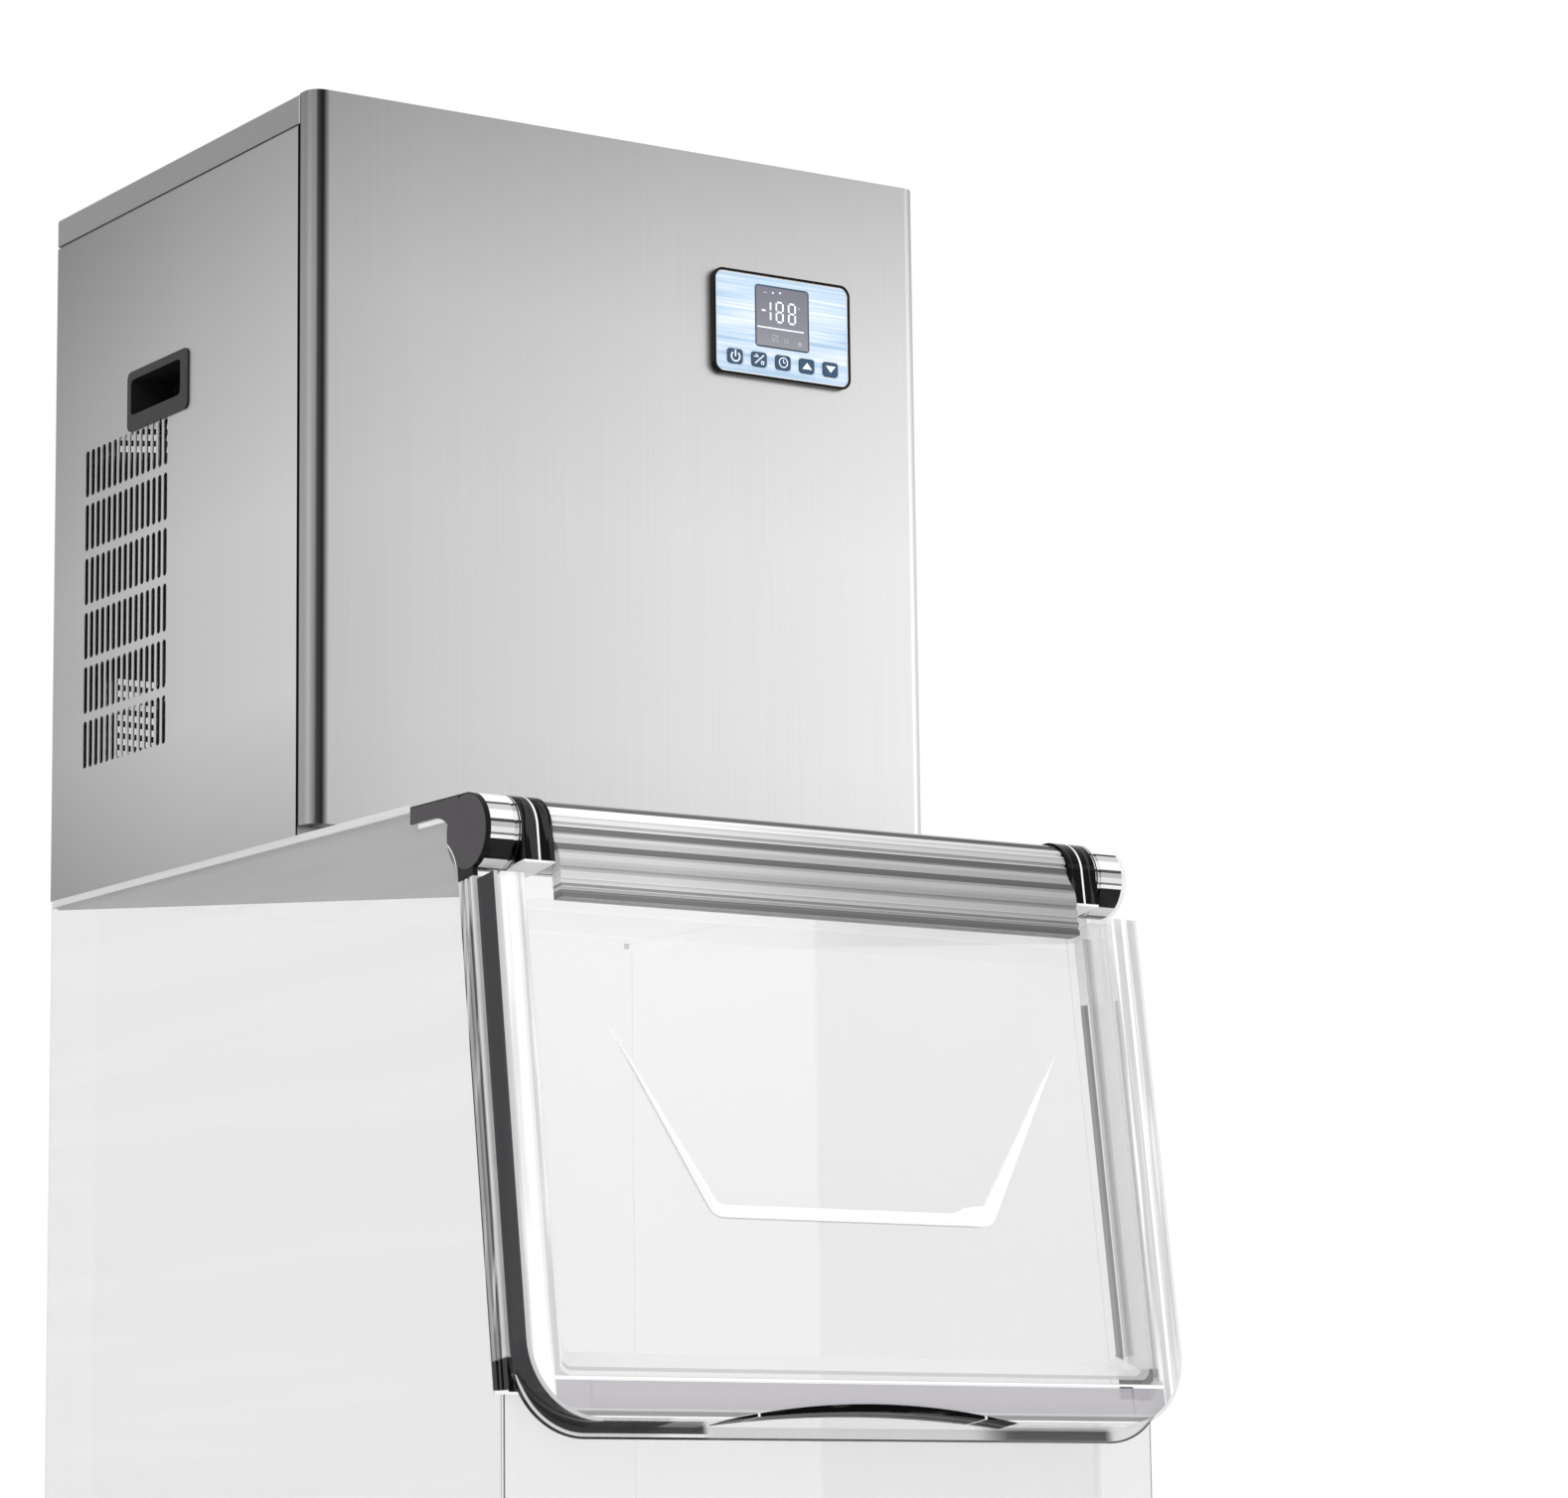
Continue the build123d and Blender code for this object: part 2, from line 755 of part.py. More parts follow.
with BuildPart() as bin_drain:
    rod(
        drain_radius,
        (0, drain_y, bin_floor - drain_reach),
        (0, drain_y, liner_floor + liner_wall),
    )
    rod(
        drain_flange,
        (0, drain_y, liner_floor + liner_wall),
        (0, drain_y, liner_floor + 2 * liner_wall),
    )
    rod(
        drain_flange,
        (0, drain_y, bin_floor - bin_wall),
        (0, drain_y, bin_floor),
    )
    rod(
        drain_radius - drain_wall,
        (0, drain_y, bin_floor - drain_reach),
        (0, drain_y, liner_floor + 2 * liner_wall),
        mode=Mode.SUBTRACT,
    )
bin_drain.part.label = "bin_drain"
export_step(bin_drain.part, "parts/bin_drain.step")


def head_block(x0, x1, back0, back1, up0, up1, mode=Mode.ADD):
    """Adds or cuts a box of the head, measured back from its front and up from its foot."""
    block(x0, x1, head_front + back0, head_front + back1, bin_top + up0, bin_top + up1, mode)


def head_point(x, back, up):
    """A point measured back from the head's front and up from its foot."""
    return (x, head_front + back, bin_top + up)


def head_rod(radius, start, end, mode=Mode.ADD):
    """Adds or cuts a round bar between two points of the head."""
    rod(radius, head_point(*start), head_point(*end), mode)


def side_plane(x):
    """Plane across the head at x: local x runs back from its front and y up from its foot."""
    return Plane(origin=head_point(x, 0, 0), x_dir=(0, 1, 0), z_dir=(1, 0, 0))


def front_plane(back):
    """Plane parallel to the head's front: local x runs right, y up, and z to the front."""
    return Plane(origin=head_point(0, back, 0), x_dir=(1, 0, 0), z_dir=(0, -1, 0))


# Head cabinet sheet metal
sheet = 1.2
pan_sheet = 1.5
pan_height = 20.0
panel_return = 12.0
front_depth = 19.0
front_foot = 7.0
front_corner = 12.4
front_gap = 3.0
side_inset = 1.5
lid_skirt = 23.0
lid_gap = 2.5
lid_air = 2.0
lid_corner = 2.0
clip_width = 6.0
clip_height = 20.0
clip_foot = 60.0
clip_drop = 26.0
divider_back = 200.0

side_start = front_depth + front_gap
lid_start = front_depth + lid_gap
lid_foot = head_height - lid_skirt
side_top = lid_foot - lid_air
clip_top = side_top - clip_drop
clip_ups = (clip_foot, (clip_foot + clip_top) / 2, clip_top)
pan_half = half_width - sheet - seam
pan_front = side_start + sheet + 1
pan_rear = head_depth - 2 * side_inset
side_rear = head_depth - side_inset

with BuildPart() as base_pan:
    head_block(-pan_half, pan_half, pan_front, pan_rear, 0, pan_height)
    head_block(
        -pan_half + pan_sheet,
        pan_half - pan_sheet,
        pan_front + pan_sheet,
        pan_rear - pan_sheet,
        pan_sheet,
        pan_height,
        mode=Mode.SUBTRACT,
    )
    block(
        -drop_half, drop_half, drop_front, drop_rear, bin_top, head_top, mode=Mode.SUBTRACT
    )
base_pan.part.label = "base_pan"
export_step(base_pan.part, "parts/base_pan.step")

# Control panel: a raised bezel in the front panel, a face, a display and five buttons
control_inset = 136.5
control_drop = 91.9
control_width = 130.7
control_height = 85.9
control_corner = 9.0
bezel_proud = 5.0
bezel_rim = 2.0
bezel_sleeve = 5.0
sleeve_margin = 4.8
sleeve_wall = 2.7
face_front = 4.2
face_back = 2.4
button_width = 14.0
button_height = 11.7
button_corner = 2.5
button_pitch = 22.8
button_rise = 14.9
button_gap = 0.3
button_proud = 5.4
button_flange = 1.0
button_flange_front = 2.2
button_flange_back = 1.0
stem_width = 5.0
stem_back = 2.5
display_rise = 51.3
display_width = 51.6
display_height = 50.9
display_corner = 3.0
display_proud = 4.4

control_x = half_width - control_inset
control_foot = head_height - control_drop - control_height
control_up = control_foot + control_height / 2
face_corner = control_corner - bezel_rim
button_up = control_foot + button_rise
display_up = control_foot + display_rise
sleeve_width = control_width - 2 * sleeve_margin
sleeve_height = control_height - 2 * sleeve_margin
button_centres = [control_x + button_pitch * place for place in (-2, -1, 0, 1, 2)]

with BuildPart() as front_panel:
    head_block(-half_width, half_width, 0, front_depth, front_foot, head_height)
    fillet(
        front_panel.edges().filter_by(Axis.Z).group_by(Axis.Y)[0],
        front_corner,
    )
    with BuildPart(mode=Mode.SUBTRACT) as front_hollow:
        head_block(
            -half_width + sheet,
            half_width - sheet,
            sheet,
            2 * front_depth,
            front_foot + sheet,
            head_height - sheet,
        )
        fillet(
            front_hollow.edges().filter_by(Axis.Z).group_by(Axis.Y)[0],
            front_corner - sheet,
        )
    for x0, x1 in both_sides(half_width - panel_return - sheet, half_width - sheet):
        head_block(
            x0,
            x1,
            front_depth - sheet,
            front_depth,
            front_foot + sheet,
            head_height - sheet,
        )
    head_block(
        control_x - sleeve_width / 2 - seam,
        control_x + sleeve_width / 2 + seam,
        -sheet,
        2 * sheet,
        control_up - sleeve_height / 2 - seam,
        control_up + sleeve_height / 2 + seam,
        mode=Mode.SUBTRACT,
    )
front_panel.part.label = "front_panel"
export_step(front_panel.part, "parts/front_panel.step")

with BuildPart() as control_bezel:
    with BuildSketch(front_plane(0)):
        with Locations((control_x, control_up)):
            RectangleRounded(control_width, control_height, control_corner)
    extrude(amount=bezel_proud)
    with BuildSketch(front_plane(bezel_sleeve)):
        with Locations((control_x, control_up)):
            Rectangle(sleeve_width, sleeve_height)
    extrude(amount=bezel_sleeve)
    with BuildSketch(front_plane(bezel_sleeve)):
        with Locations((control_x, control_up)):
            Rectangle(sleeve_width - 2 * sleeve_wall, sleeve_height - sleeve_wall)
    extrude(amount=2 * bezel_proud + bezel_sleeve, mode=Mode.SUBTRACT)
    with BuildSketch(front_plane(-face_back)):
        with Locations((control_x, control_up)):
            RectangleRounded(
                control_width - 2 * bezel_rim, control_height - 2 * bezel_rim, face_corner
            )
    extrude(amount=bezel_proud, mode=Mode.SUBTRACT)
control_bezel.part.label = "control_bezel"
export_step(control_bezel.part, "parts/control_bezel.step")

with BuildPart() as control_fascia:
    with BuildSketch(front_plane(-face_back)):
        with Locations((control_x, control_up)):
            RectangleRounded(
                control_width - 2 * bezel_rim, control_height - 2 * bezel_rim, face_corner
            )
        with Locations((control_x, display_up)):
            RectangleRounded(
                display_width, display_height, display_corner, mode=Mode.SUBTRACT
            )
        with Locations(*[(x, button_up) for x in button_centres]):
            RectangleRounded(
                button_width + 2 * button_gap,
                button_height + 2 * button_gap,
                button_corner + button_gap,
                mode=Mode.SUBTRACT,
            )
    extrude(amount=face_front - face_back)
control_fascia.part.label = "control_fascia"
export_step(control_fascia.part, "parts/control_fascia.step")

with BuildPart() as display_window:
    with BuildSketch(front_plane(-face_back)):
        with Locations((control_x, display_up)):
            RectangleRounded(display_width, display_height, display_corner)
    extrude(amount=display_proud - face_back)
display_window.part.label = "display_window"
export_step(display_window.part, "parts/display_window.step")

board_thickness = 1.6
switch_size = 6.0
switch_gap = 1.1
module_margin = 2.0

with BuildPart() as control_board:
    with BuildSketch(front_plane(bezel_sleeve + board_thickness)):
        with Locations((control_x, control_up)):
            Rectangle(sleeve_width, sleeve_height)
    extrude(amount=board_thickness)
    with BuildSketch(front_plane(bezel_sleeve)):
        with Locations(*[(x, button_up) for x in button_centres]):
            Rectangle(switch_size, switch_size)
    extrude(amount=bezel_sleeve - stem_back - switch_gap)
    with BuildSketch(front_plane(bezel_sleeve)):
        with Locations((control_x, display_up)):
            Rectangle(display_width - 2 * module_margin, display_height - 2 * module_margin)
    extrude(amount=bezel_sleeve + face_back - seam)
control_board.part.label = "control_board"
export_step(control_board.part, "parts/control_board.step")

for x, use in zip(button_centres, ("power", "wash", "timer", "up", "down")):
    with BuildPart() as button:
        with BuildSketch(front_plane(-button_flange_front)):
            with Locations((x, button_up)):
                RectangleRounded(button_width, button_height, button_corner)
        extrude(amount=button_proud - button_flange_front)
        with BuildSketch(front_plane(-button_flange_back)):
            with Locations((x, button_up)):
                Rectangle(button_width + 2 * button_flange, button_height + 2 * button_flange)
        extrude(amount=button_flange_front - button_flange_back)
        with BuildSketch(front_plane(stem_back)):
            with Locations((x, button_up)):
                Rectangle(stem_width, stem_width)
        extrude(amount=stem_back + button_flange_back)
    button.part.label = f"{use}_button"
    export_step(button.part, f"parts/{use}_button.step")

# Side panels with their louvres, and the recessed handles in them
louvre_columns = 15
louvre_pitch = 10.0
louvre_row_pitch = 44.7
louvre_width = 6.2
louvre_length = 38.5
louvre_start = 241.0
louvre_foot = 101.0
louvre_margin = 6.5
handle_front = 201.5
handle_length = 105.5
handle_drop = 159.0
handle_height = 49.0
handle_corner = 6.0
handle_flange = 4.7
handle_proud = 1.5
cup_front_margin = 12.5
cup_rear_margin = 6.5
cup_foot_margin = 13.0
cup_top_margin = 7.0
cup_corner = 4.0
cup_depth = 36.0
cup_wall = 2.0

handle_rear = handle_front + handle_length
handle_top = head_height - handle_drop
handle_foot = handle_top - handle_height
cup_front = handle_front + cup_front_margin
cup_rear = handle_rear - cup_rear_margin
cup_foot = handle_foot + cup_foot_margin
cup_top = handle_top - cup_top_margin
louvre_rows = int((handle_foot - louvre_foot + louvre_margin) / louvre_row_pitch)
louvre_back = louvre_start + louvre_pitch * (louvre_columns - 1) / 2
louvre_up = louvre_foot + louvre_length / 2 + louvre_row_pitch * (louvre_rows - 1) / 2
handle_back = (handle_front + handle_rear) / 2
handle_up = (handle_foot + handle_top) / 2
cup_width = handle_length - 2 * handle_flange
cup_height = handle_height - 2 * handle_flange

for side, hand in ((-1, "left"), (1, "right")):
    outer, inner = side * half_width, side * (half_width - sheet)
    lip = side * (half_width - panel_return)
    x0, x1 = sorted((outer, inner))
    lip0, lip1 = sorted((outer, lip))
    with BuildPart() as side_panel:
        head_block(x0, x1, side_start, side_rear, 0, side_top)
        head_block(lip0, lip1, side_start, side_start + sheet, pan_height, side_top)
        head_block(lip0, lip1, side_rear - sheet, side_rear, pan_height, side_top)
        head_block(lip0, lip1, side_start, side_rear, side_top - sheet, side_top)
        ledge0, ledge1 = sorted((side * (pan_half - sheet), side * pan_half))
        head_block(
            ledge0,
            ledge1,
            side_start + 2 * sheet,
            side_rear - sheet,
            side_top - sheet,
            head_height - sheet,
        )
        clip0, clip1 = sorted((lip, side * (half_width - panel_return + clip_width)))
        for up in clip_ups:
            head_block(
                clip0,
                clip1,
                front_depth,
                side_start,
                up - clip_height / 2,
                up + clip_height / 2,
            )
        with BuildSketch(side_plane(x0 - sheet)):
            with Locations((louvre_back, louvre_up)):
                with GridLocations(
                    louvre_pitch, louvre_row_pitch, louvre_columns, louvre_rows
                ):
                    SlotOverall(louvre_length, louvre_width, rotation=90)
            with Locations((handle_back, handle_up)):
                Rectangle(cup_width + 2 * seam, cup_height + 2 * seam)
        extrude(amount=3 * sheet, mode=Mode.SUBTRACT)
    side_panel.part.label = f"{hand}_side_panel"
    export_step(side_panel.part, f"parts/{hand}_side_panel.step")

    with BuildPart() as recessed_handle:
        flange_x = outer if side > 0 else outer - handle_proud
        cup_x = outer - cup_depth - cup_wall if side > 0 else outer
        hollow_x = outer - cup_depth if side > 0 else outer - 2 * handle_proud
        with BuildSketch(side_plane(flange_x)):
            with Locations((handle_back, handle_up)):
                RectangleRounded(handle_length, handle_height, handle_corner)
        extrude(amount=handle_proud)
        with BuildSketch(side_plane(cup_x)):
            with Locations((handle_back, handle_up)):
                Rectangle(cup_width, cup_height)
        extrude(amount=cup_depth + cup_wall)
        with BuildSketch(side_plane(hollow_x)):
            with Locations(((cup_front + cup_rear) / 2, (cup_foot + cup_top) / 2)):
                RectangleRounded(cup_rear - cup_front, cup_top - cup_foot, cup_corner)
        extrude(amount=cup_depth + 2 * handle_proud, mode=Mode.SUBTRACT)
    recessed_handle.part.label = f"{hand}_recessed_handle"
    export_step(recessed_handle.part, f"parts/{hand}_recessed_handle.step")

# Lid
with BuildPart() as top_panel:
    head_block(-half_width, half_width, lid_start, head_depth, lid_foot, head_height)
    fillet(top_panel.edges().filter_by(Axis.Z), lid_corner)
    fillet(top_panel.faces().sort_by(Axis.Z)[-1].edges(), lid_corner)
    head_block(
        -half_width + sheet,
        half_width - sheet,
        lid_start + sheet,
        head_depth - sheet,
        lid_foot,
        head_height - sheet,
        mode=Mode.SUBTRACT,
    )
top_panel.part.label = "top_panel"
export_step(top_panel.part, "parts/top_panel.step")

# Rear panel with vent slots and the holes for the water port and the cable gland
vent_count = 10
vent_pitch = 14.0
vent_width = 5.0
vent_length = 160.0
vent_x = -60.0
vent_up = 300.0
port_inset = 100.0
port_up = 80.0
port_radius = 13.2
gland_inset = 45.0
gland_radius = 10.0

port_x = half_width - port_inset
gland_x = half_width - gland_inset
with BuildPart() as rear_panel:
    head_block(-pan_half, pan_half, head_depth - sheet, head_depth, pan_sheet, side_top)
    with BuildSketch(front_plane(head_depth + sheet)):
        with Locations((vent_x, vent_up)):
            with GridLocations(vent_length, vent_pitch, 1, vent_count):
                SlotOverall(vent_length, vent_width)
        with Locations((port_x, port_up)):
            Circle(port_radius + seam)
        with Locations((gland_x, port_up)):
            Circle(gland_radius + seam)
    extrude(amount=3 * sheet, mode=Mode.SUBTRACT)
rear_panel.part.label = "rear_panel"
export_step(rear_panel.part, "parts/rear_panel.step")

screw_radius = 4.0
screw_head = 1.8
screw_inset = 12.0
screw_foot = 20.0
screw_drop = 16.0
screw_rows = 4

screw_pitch = (side_top - screw_drop - screw_foot) / (screw_rows - 1)
with BuildPart() as panel_screws:
    for row in range(screw_rows):
        up = screw_foot + screw_pitch * row
        for side in (-1, 1):
            x = side * (pan_half - screw_inset)
            head_rod(screw_radius, (x, head_depth, up), (x, head_depth + screw_head, up))
    chamfer(panel_screws.edges().group_by(Axis.Y)[-1], 0.6)
panel_screws.part.label = "panel_screws"
export_step(panel_screws.part, "parts/panel_screws.step")

# Divider wall between the ice chamber in front and the machinery behind
wall_margin = 15.0
wall_air = 5.0
wall_foot_flange = 12.0
line_hole = 6.0
liquid_x = -20.0
suction_x = 120.0
line_drop = 73.0

wall_half = half_width - wall_margin
wall_top = lid_foot - wall_air
line_up = wall_top - line_drop
with BuildPart() as divider_wall:
    head_block(-wall_half, wall_half, divider_back, divider_back + sheet, pan_sheet, wall_top)
    head_block(
        -wall_half,
        wall_half,
        divider_back,
        divider_back + wall_foot_flange,
        pan_sheet,
        pan_sheet + sheet,
    )
    for x in (liquid_x, suction_x):
        head_rod(
            line_hole,
            (x, divider_back - 1, line_up),
            (x, divider_back + 2 * sheet, line_up),
            mode=Mode.SUBTRACT,
        )
divider_wall.part.label = "divider_wall"
export_step(divider_wall.part, "parts/divider_wall.step")

# Evaporator: a grid of ice cells with end plates that also carry the curtain
evaporator_left_margin = 79.0
evaporator_right_margin = 119.0
evaporator_setback = 28.0
evaporator_depth = 22.0
evaporator_foot = 300.0
evaporator_drop = 43.0
cell_pitch = 25.0
cell_size = 22.5
cell_depth = 18.0
end_plate = 4.0
end_plate_reach = 82.0
end_plate_lap = 20.0
end_plate_rise = 26.0
curtain_setback = 72.5
curtain_rise = 15.0
curtain_pin = 2.5
coil_radius = 4.0
coil_passes = 6

evaporator_x0 = -half_width + evaporator_left_margin
evaporator_x1 = half_width - evaporator_right_margin
evaporator_back = divider_back - evaporator_setback
evaporator_front = evaporator_back - evaporator_depth
evaporator_top = wall_top - evaporator_drop
end_plate_front = divider_back - end_plate_reach
end_plate_foot = evaporator_top - end_plate_lap
end_plate_top = evaporator_top + end_plate_rise
curtain_back = divider_back - curtain_setback
curtain_up = evaporator_top + curtain_rise
cell_columns = int((evaporator_x1 - evaporator_x0) / cell_pitch)
cell_rows = int((evaporator_top - evaporator_foot) / cell_pitch)
evaporator_x = (evaporator_x0 + evaporator_x1) / 2
evaporator_up = (evaporator_foot + evaporator_top) / 2

with BuildPart() as evaporator:
    head_block(
        evaporator_x0,
        evaporator_x1,
        evaporator_front,
        evaporator_back,
        evaporator_foot,
        evaporator_top,
    )
    with BuildSketch(front_plane(evaporator_front + cell_depth)):
        with Locations((evaporator_x, evaporator_up)):
            with GridLocations(cell_pitch, cell_pitch, cell_columns, cell_rows):
                Rectangle(cell_size, cell_size)
    extrude(amount=2 * cell_depth, mode=Mode.SUBTRACT)
    for x0, x1 in (
        (evaporator_x0 - end_plate, evaporator_x0 - plate_joint),
        (evaporator_x1 + plate_joint, evaporator_x1 + end_plate),
    ):
        head_block(x0, x1, end_plate_front, divider_back, end_plate_foot, end_plate_top)
    for x in (evaporator_x0 + cell_pitch, evaporator_x1 - cell_pitch):
        head_block(
            x - end_plate, x, evaporator_back, divider_back, evaporator_foot, evaporator_top
        )
    for turn in range(coil_passes):
        up = evaporator_foot + cell_pitch * (turn + 1)
        head_rod(
            coil_radius,
            (evaporator_x0 + cell_pitch, evaporator_back + coil_radius / 2, up),
            (evaporator_x1 - cell_pitch, evaporator_back + coil_radius / 2, up),
        )
    head_rod(
        curtain_pin + running_gap,
        (evaporator_x0 - 2 * end_plate, curtain_back, curtain_up),
        (evaporator_x1 + 2 * end_plate, curtain_back, curtain_up),
        mode=Mode.SUBTRACT,
    )
evaporator.part.label = "evaporator"
export_step(evaporator.part, "parts/evaporator.step")

# Ice curtain: hangs from its pins in front of the cells
curtain_thickness = 2.5
curtain_overhang = 38.0
curtain_gap = 1.0
curtain_barrel = 5.0

curtain_foot = evaporator_foot - curtain_overhang
with BuildPart() as ice_curtain:
    head_block(
        evaporator_x0 + curtain_gap,
        evaporator_x1 - curtain_gap,
        curtain_back - curtain_thickness / 2,
        curtain_back + curtain_thickness / 2,
        curtain_foot,
        curtain_up,
    )
    head_rod(
        curtain_barrel,
        (evaporator_x0 + curtain_gap, curtain_back, curtain_up),
        (evaporator_x1 - curtain_gap, curtain_back, curtain_up),
    )
    head_rod(
        curtain_pin,
        (evaporator_x0 - end_plate, curtain_back, curtain_up),
        (evaporator_x1 + end_plate, curtain_back, curtain_up),
    )
ice_curtain.part.label = "ice_curtain"
export_step(ice_curtain.part, "parts/ice_curtain.step")

# Water trough under the evaporator, with its pump at the right and float at the left
trough_left_margin = 30.0
trough_right_margin = 35.0
trough_setback = 5.0
trough_depth = 77.0
trough_clearance = 40.0
trough_height = 70.0
trough_wall = 2.5
trough_corner = 8.0

trough_x0 = -half_width + trough_left_margin
trough_x1 = half_width - trough_right_margin
trough_back = divider_back - trough_setback
trough_front = trough_back - trough_depth
trough_top = evaporator_foot - trough_clearance
trough_foot = trough_top - trough_height
with BuildPart() as water_trough:
    head_block(trough_x0, trough_x1, trough_front, trough_back, trough_foot, trough_top)
    fillet(water_trough.edges().filter_by(Axis.Z), trough_corner)
    head_block(
        trough_x0 + trough_wall,
        trough_x1 - trough_wall,
        trough_front + trough_wall,
        trough_back - trough_wall,
        trough_foot + trough_wall,
        trough_top,
        mode=Mode.SUBTRACT,
    )
    head_block(
        trough_x0 + trough_corner,
        trough_x1 - trough_corner,
        trough_back,
        divider_back,
        trough_top - trough_corner,
        trough_top - trough_corner / 2,
    )
water_trough.part.label = "water_trough"
export_step(water_trough.part, "parts/water_trough.step")

pump_inset = 37.0
pump_setback = 43.0
motor_radius = 28.0
motor_rise = 25.0
motor_height = 70.0
column_radius = 9.0
volute_radius = 24.0
volute_rise = 5.0
volute_height = 20.0
volute_wall = 3.0
impeller_radius = 19.0
impeller_gap = 1.0
impeller_vanes = 6
shaft_radius = 2.5
shaft_engagement = 15.0
eye_radius = 10.0
hub_radius = 5.0
vane_thickness = 2.0

pump_x = trough_x1 - pump_inset
pump_back = divider_back - pump_setback
motor_foot = trough_top + motor_rise
motor_top = motor_foot + motor_height
volute_foot = trough_foot + volute_rise
volute_top = volute_foot + volute_height
shaft_top = motor_foot + shaft_engagement
impeller_foot = volute_foot + volute_wall + impeller_gap
impeller_top = volute_top - volute_wall - impeller_gap
with BuildPart() as pump_motor:
    head_rod(motor_radius, (pump_x, pump_back, motor_foot), (pump_x, pump_back, motor_top))
    head_rod(column_radius, (pump_x, pump_back, volute_top), (pump_x, pump_back, motor_foot))
    head_rod(volute_radius, (pump_x, pump_back, volute_foot), (pump_x, pump_back, volute_top))
    head_block(
        pump_x - motor_radius / 2,
        pump_x + motor_radius / 2,
        pump_back,
        divider_back,
        motor_foot + motor_radius / 2,
        motor_top - motor_radius / 2,
    )
    head_rod(
        impeller_radius + impeller_gap,
        (pump_x, pump_back, volute_foot + volute_wall),
        (pump_x, pump_back, volute_top - volute_wall),
        mode=Mode.SUBTRACT,
    )
    head_rod(
        eye_radius,
        (pump_x, pump_back, volute_foot - volute_wall),
        (pump_x, pump_back, volute_foot + volute_wall),
        mode=Mode.SUBTRACT,
    )
    head_rod(
        shaft_radius + running_gap,
        (pump_x, pump_back, volute_foot),
        (pump_x, pump_back, shaft_top + impeller_gap),
        mode=Mode.SUBTRACT,
    )
pump_motor.part.label = "pump_motor"
export_step(pump_motor.part, "parts/pump_motor.step")

with BuildPart() as pump_impeller:
    head_rod(hub_radius, (pump_x, pump_back, impeller_foot), (pump_x, pump_back, impeller_top))
    head_rod(shaft_radius, (pump_x, pump_back, impeller_foot), (pump_x, pump_back, shaft_top))
    with BuildSketch(Plane.XY.offset(bin_top + impeller_foot)):
        with Locations(head_point(pump_x, pump_back, 0)[:2]):
            with PolarLocations(impeller_radius / 2 + 1, impeller_vanes):
                Rectangle(impeller_radius - 2, vane_thickness)
    extrude(amount=impeller_top - impeller_foot)
pump_impeller.part.label = "pump_impeller"
export_step(pump_impeller.part, "parts/pump_impeller.step")

# Water distributor: perforated tube over the cells, fed by a riser from the pump
distributor_radius = 8.0
distributor_setback = 40.0
distributor_rise = 11.0
distributor_hole = 1.5
distributor_holes = 14
riser_offset = 36.0
riser_radius = 6.0

distributor_back = divider_back - distributor_setback
distributor_up = evaporator_top + distributor_rise
riser_x = pump_x - riser_offset
riser_foot = volute_foot + volute_height / 2
with BuildPart() as water_distributor:
    head_rod(
        distributor_radius,
        (evaporator_x0 + seam, distributor_back, distributor_up),
        (evaporator_x1 - seam, distributor_back, distributor_up),
    )
    with BuildSketch(Plane.XY.offset(bin_top + distributor_up - 2 * distributor_radius)):
        with Locations(head_point(evaporator_x, distributor_back, 0)[:2]):
            with GridLocations(cell_pitch, distributor_radius, distributor_holes, 1):
                Circle(distributor_hole)
    extrude(amount=2 * distributor_radius, mode=Mode.SUBTRACT)
    head_rod(
        riser_radius - 1,
        (evaporator_x1 - cell_pitch, distributor_back, distributor_up),
        (evaporator_x1 - cell_pitch, divider_back, distributor_up),
    )
    head_rod(
        riser_radius - 1,
        (evaporator_x0 + cell_pitch, distributor_back, distributor_up),
        (evaporator_x0 + cell_pitch, divider_back, distributor_up),
    )
water_distributor.part.label = "water_distributor"
export_step(water_distributor.part, "parts/water_distributor.step")

with BuildPart() as feed_riser:
    head_rod(
        riser_radius,
        (riser_x, pump_back, riser_foot),
        (riser_x, pump_back, end_plate_top + riser_radius),
    )
    head_rod(
        riser_radius,
        (riser_x, pump_back, riser_foot),
        (pump_x - volute_radius + 0.5, pump_back, riser_foot),
    )
    head_rod(
        riser_radius - 1,
        (evaporator_x1 - 2 * cell_pitch, distributor_back, end_plate_top + riser_radius),
        (riser_x, distributor_back, end_plate_top + riser_radius),
    )
    head_rod(
        riser_radius - 1,
        (
            evaporator_x1 - 2 * cell_pitch,
            distributor_back,
            distributor_up + distributor_radius + seam,
        ),
        (evaporator_x1 - 2 * cell_pitch, distributor_back, end_plate_top + 2 * riser_radius),
    )
    head_rod(
        volute_radius + seam,
        (pump_x, pump_back, volute_foot),
        (pump_x, pump_back, volute_top),
        mode=Mode.SUBTRACT,
    )
feed_riser.part.label = "feed_riser"
export_step(feed_riser.part, "parts/feed_riser.step")

# Float valve: a slotted body on the divider wall with a pivoting arm and its float
float_inset = 100.0
float_setback = 32.0
float_radius = 13.0
float_height = 24.0
float_drop = 38.0
pivot_inset = 34.0
pivot_rise = 14.0
pivot_pin = 2.0
valve_inset = 12.0
valve_width = 28.0
valve_depth = 40.0
valve_rise = 4.0
valve_height = 32.0
slot_inset = 12.0
slot_width = 8.6
arm_thickness = 8.0
arm_height = 6.0
pin_half = 8.0

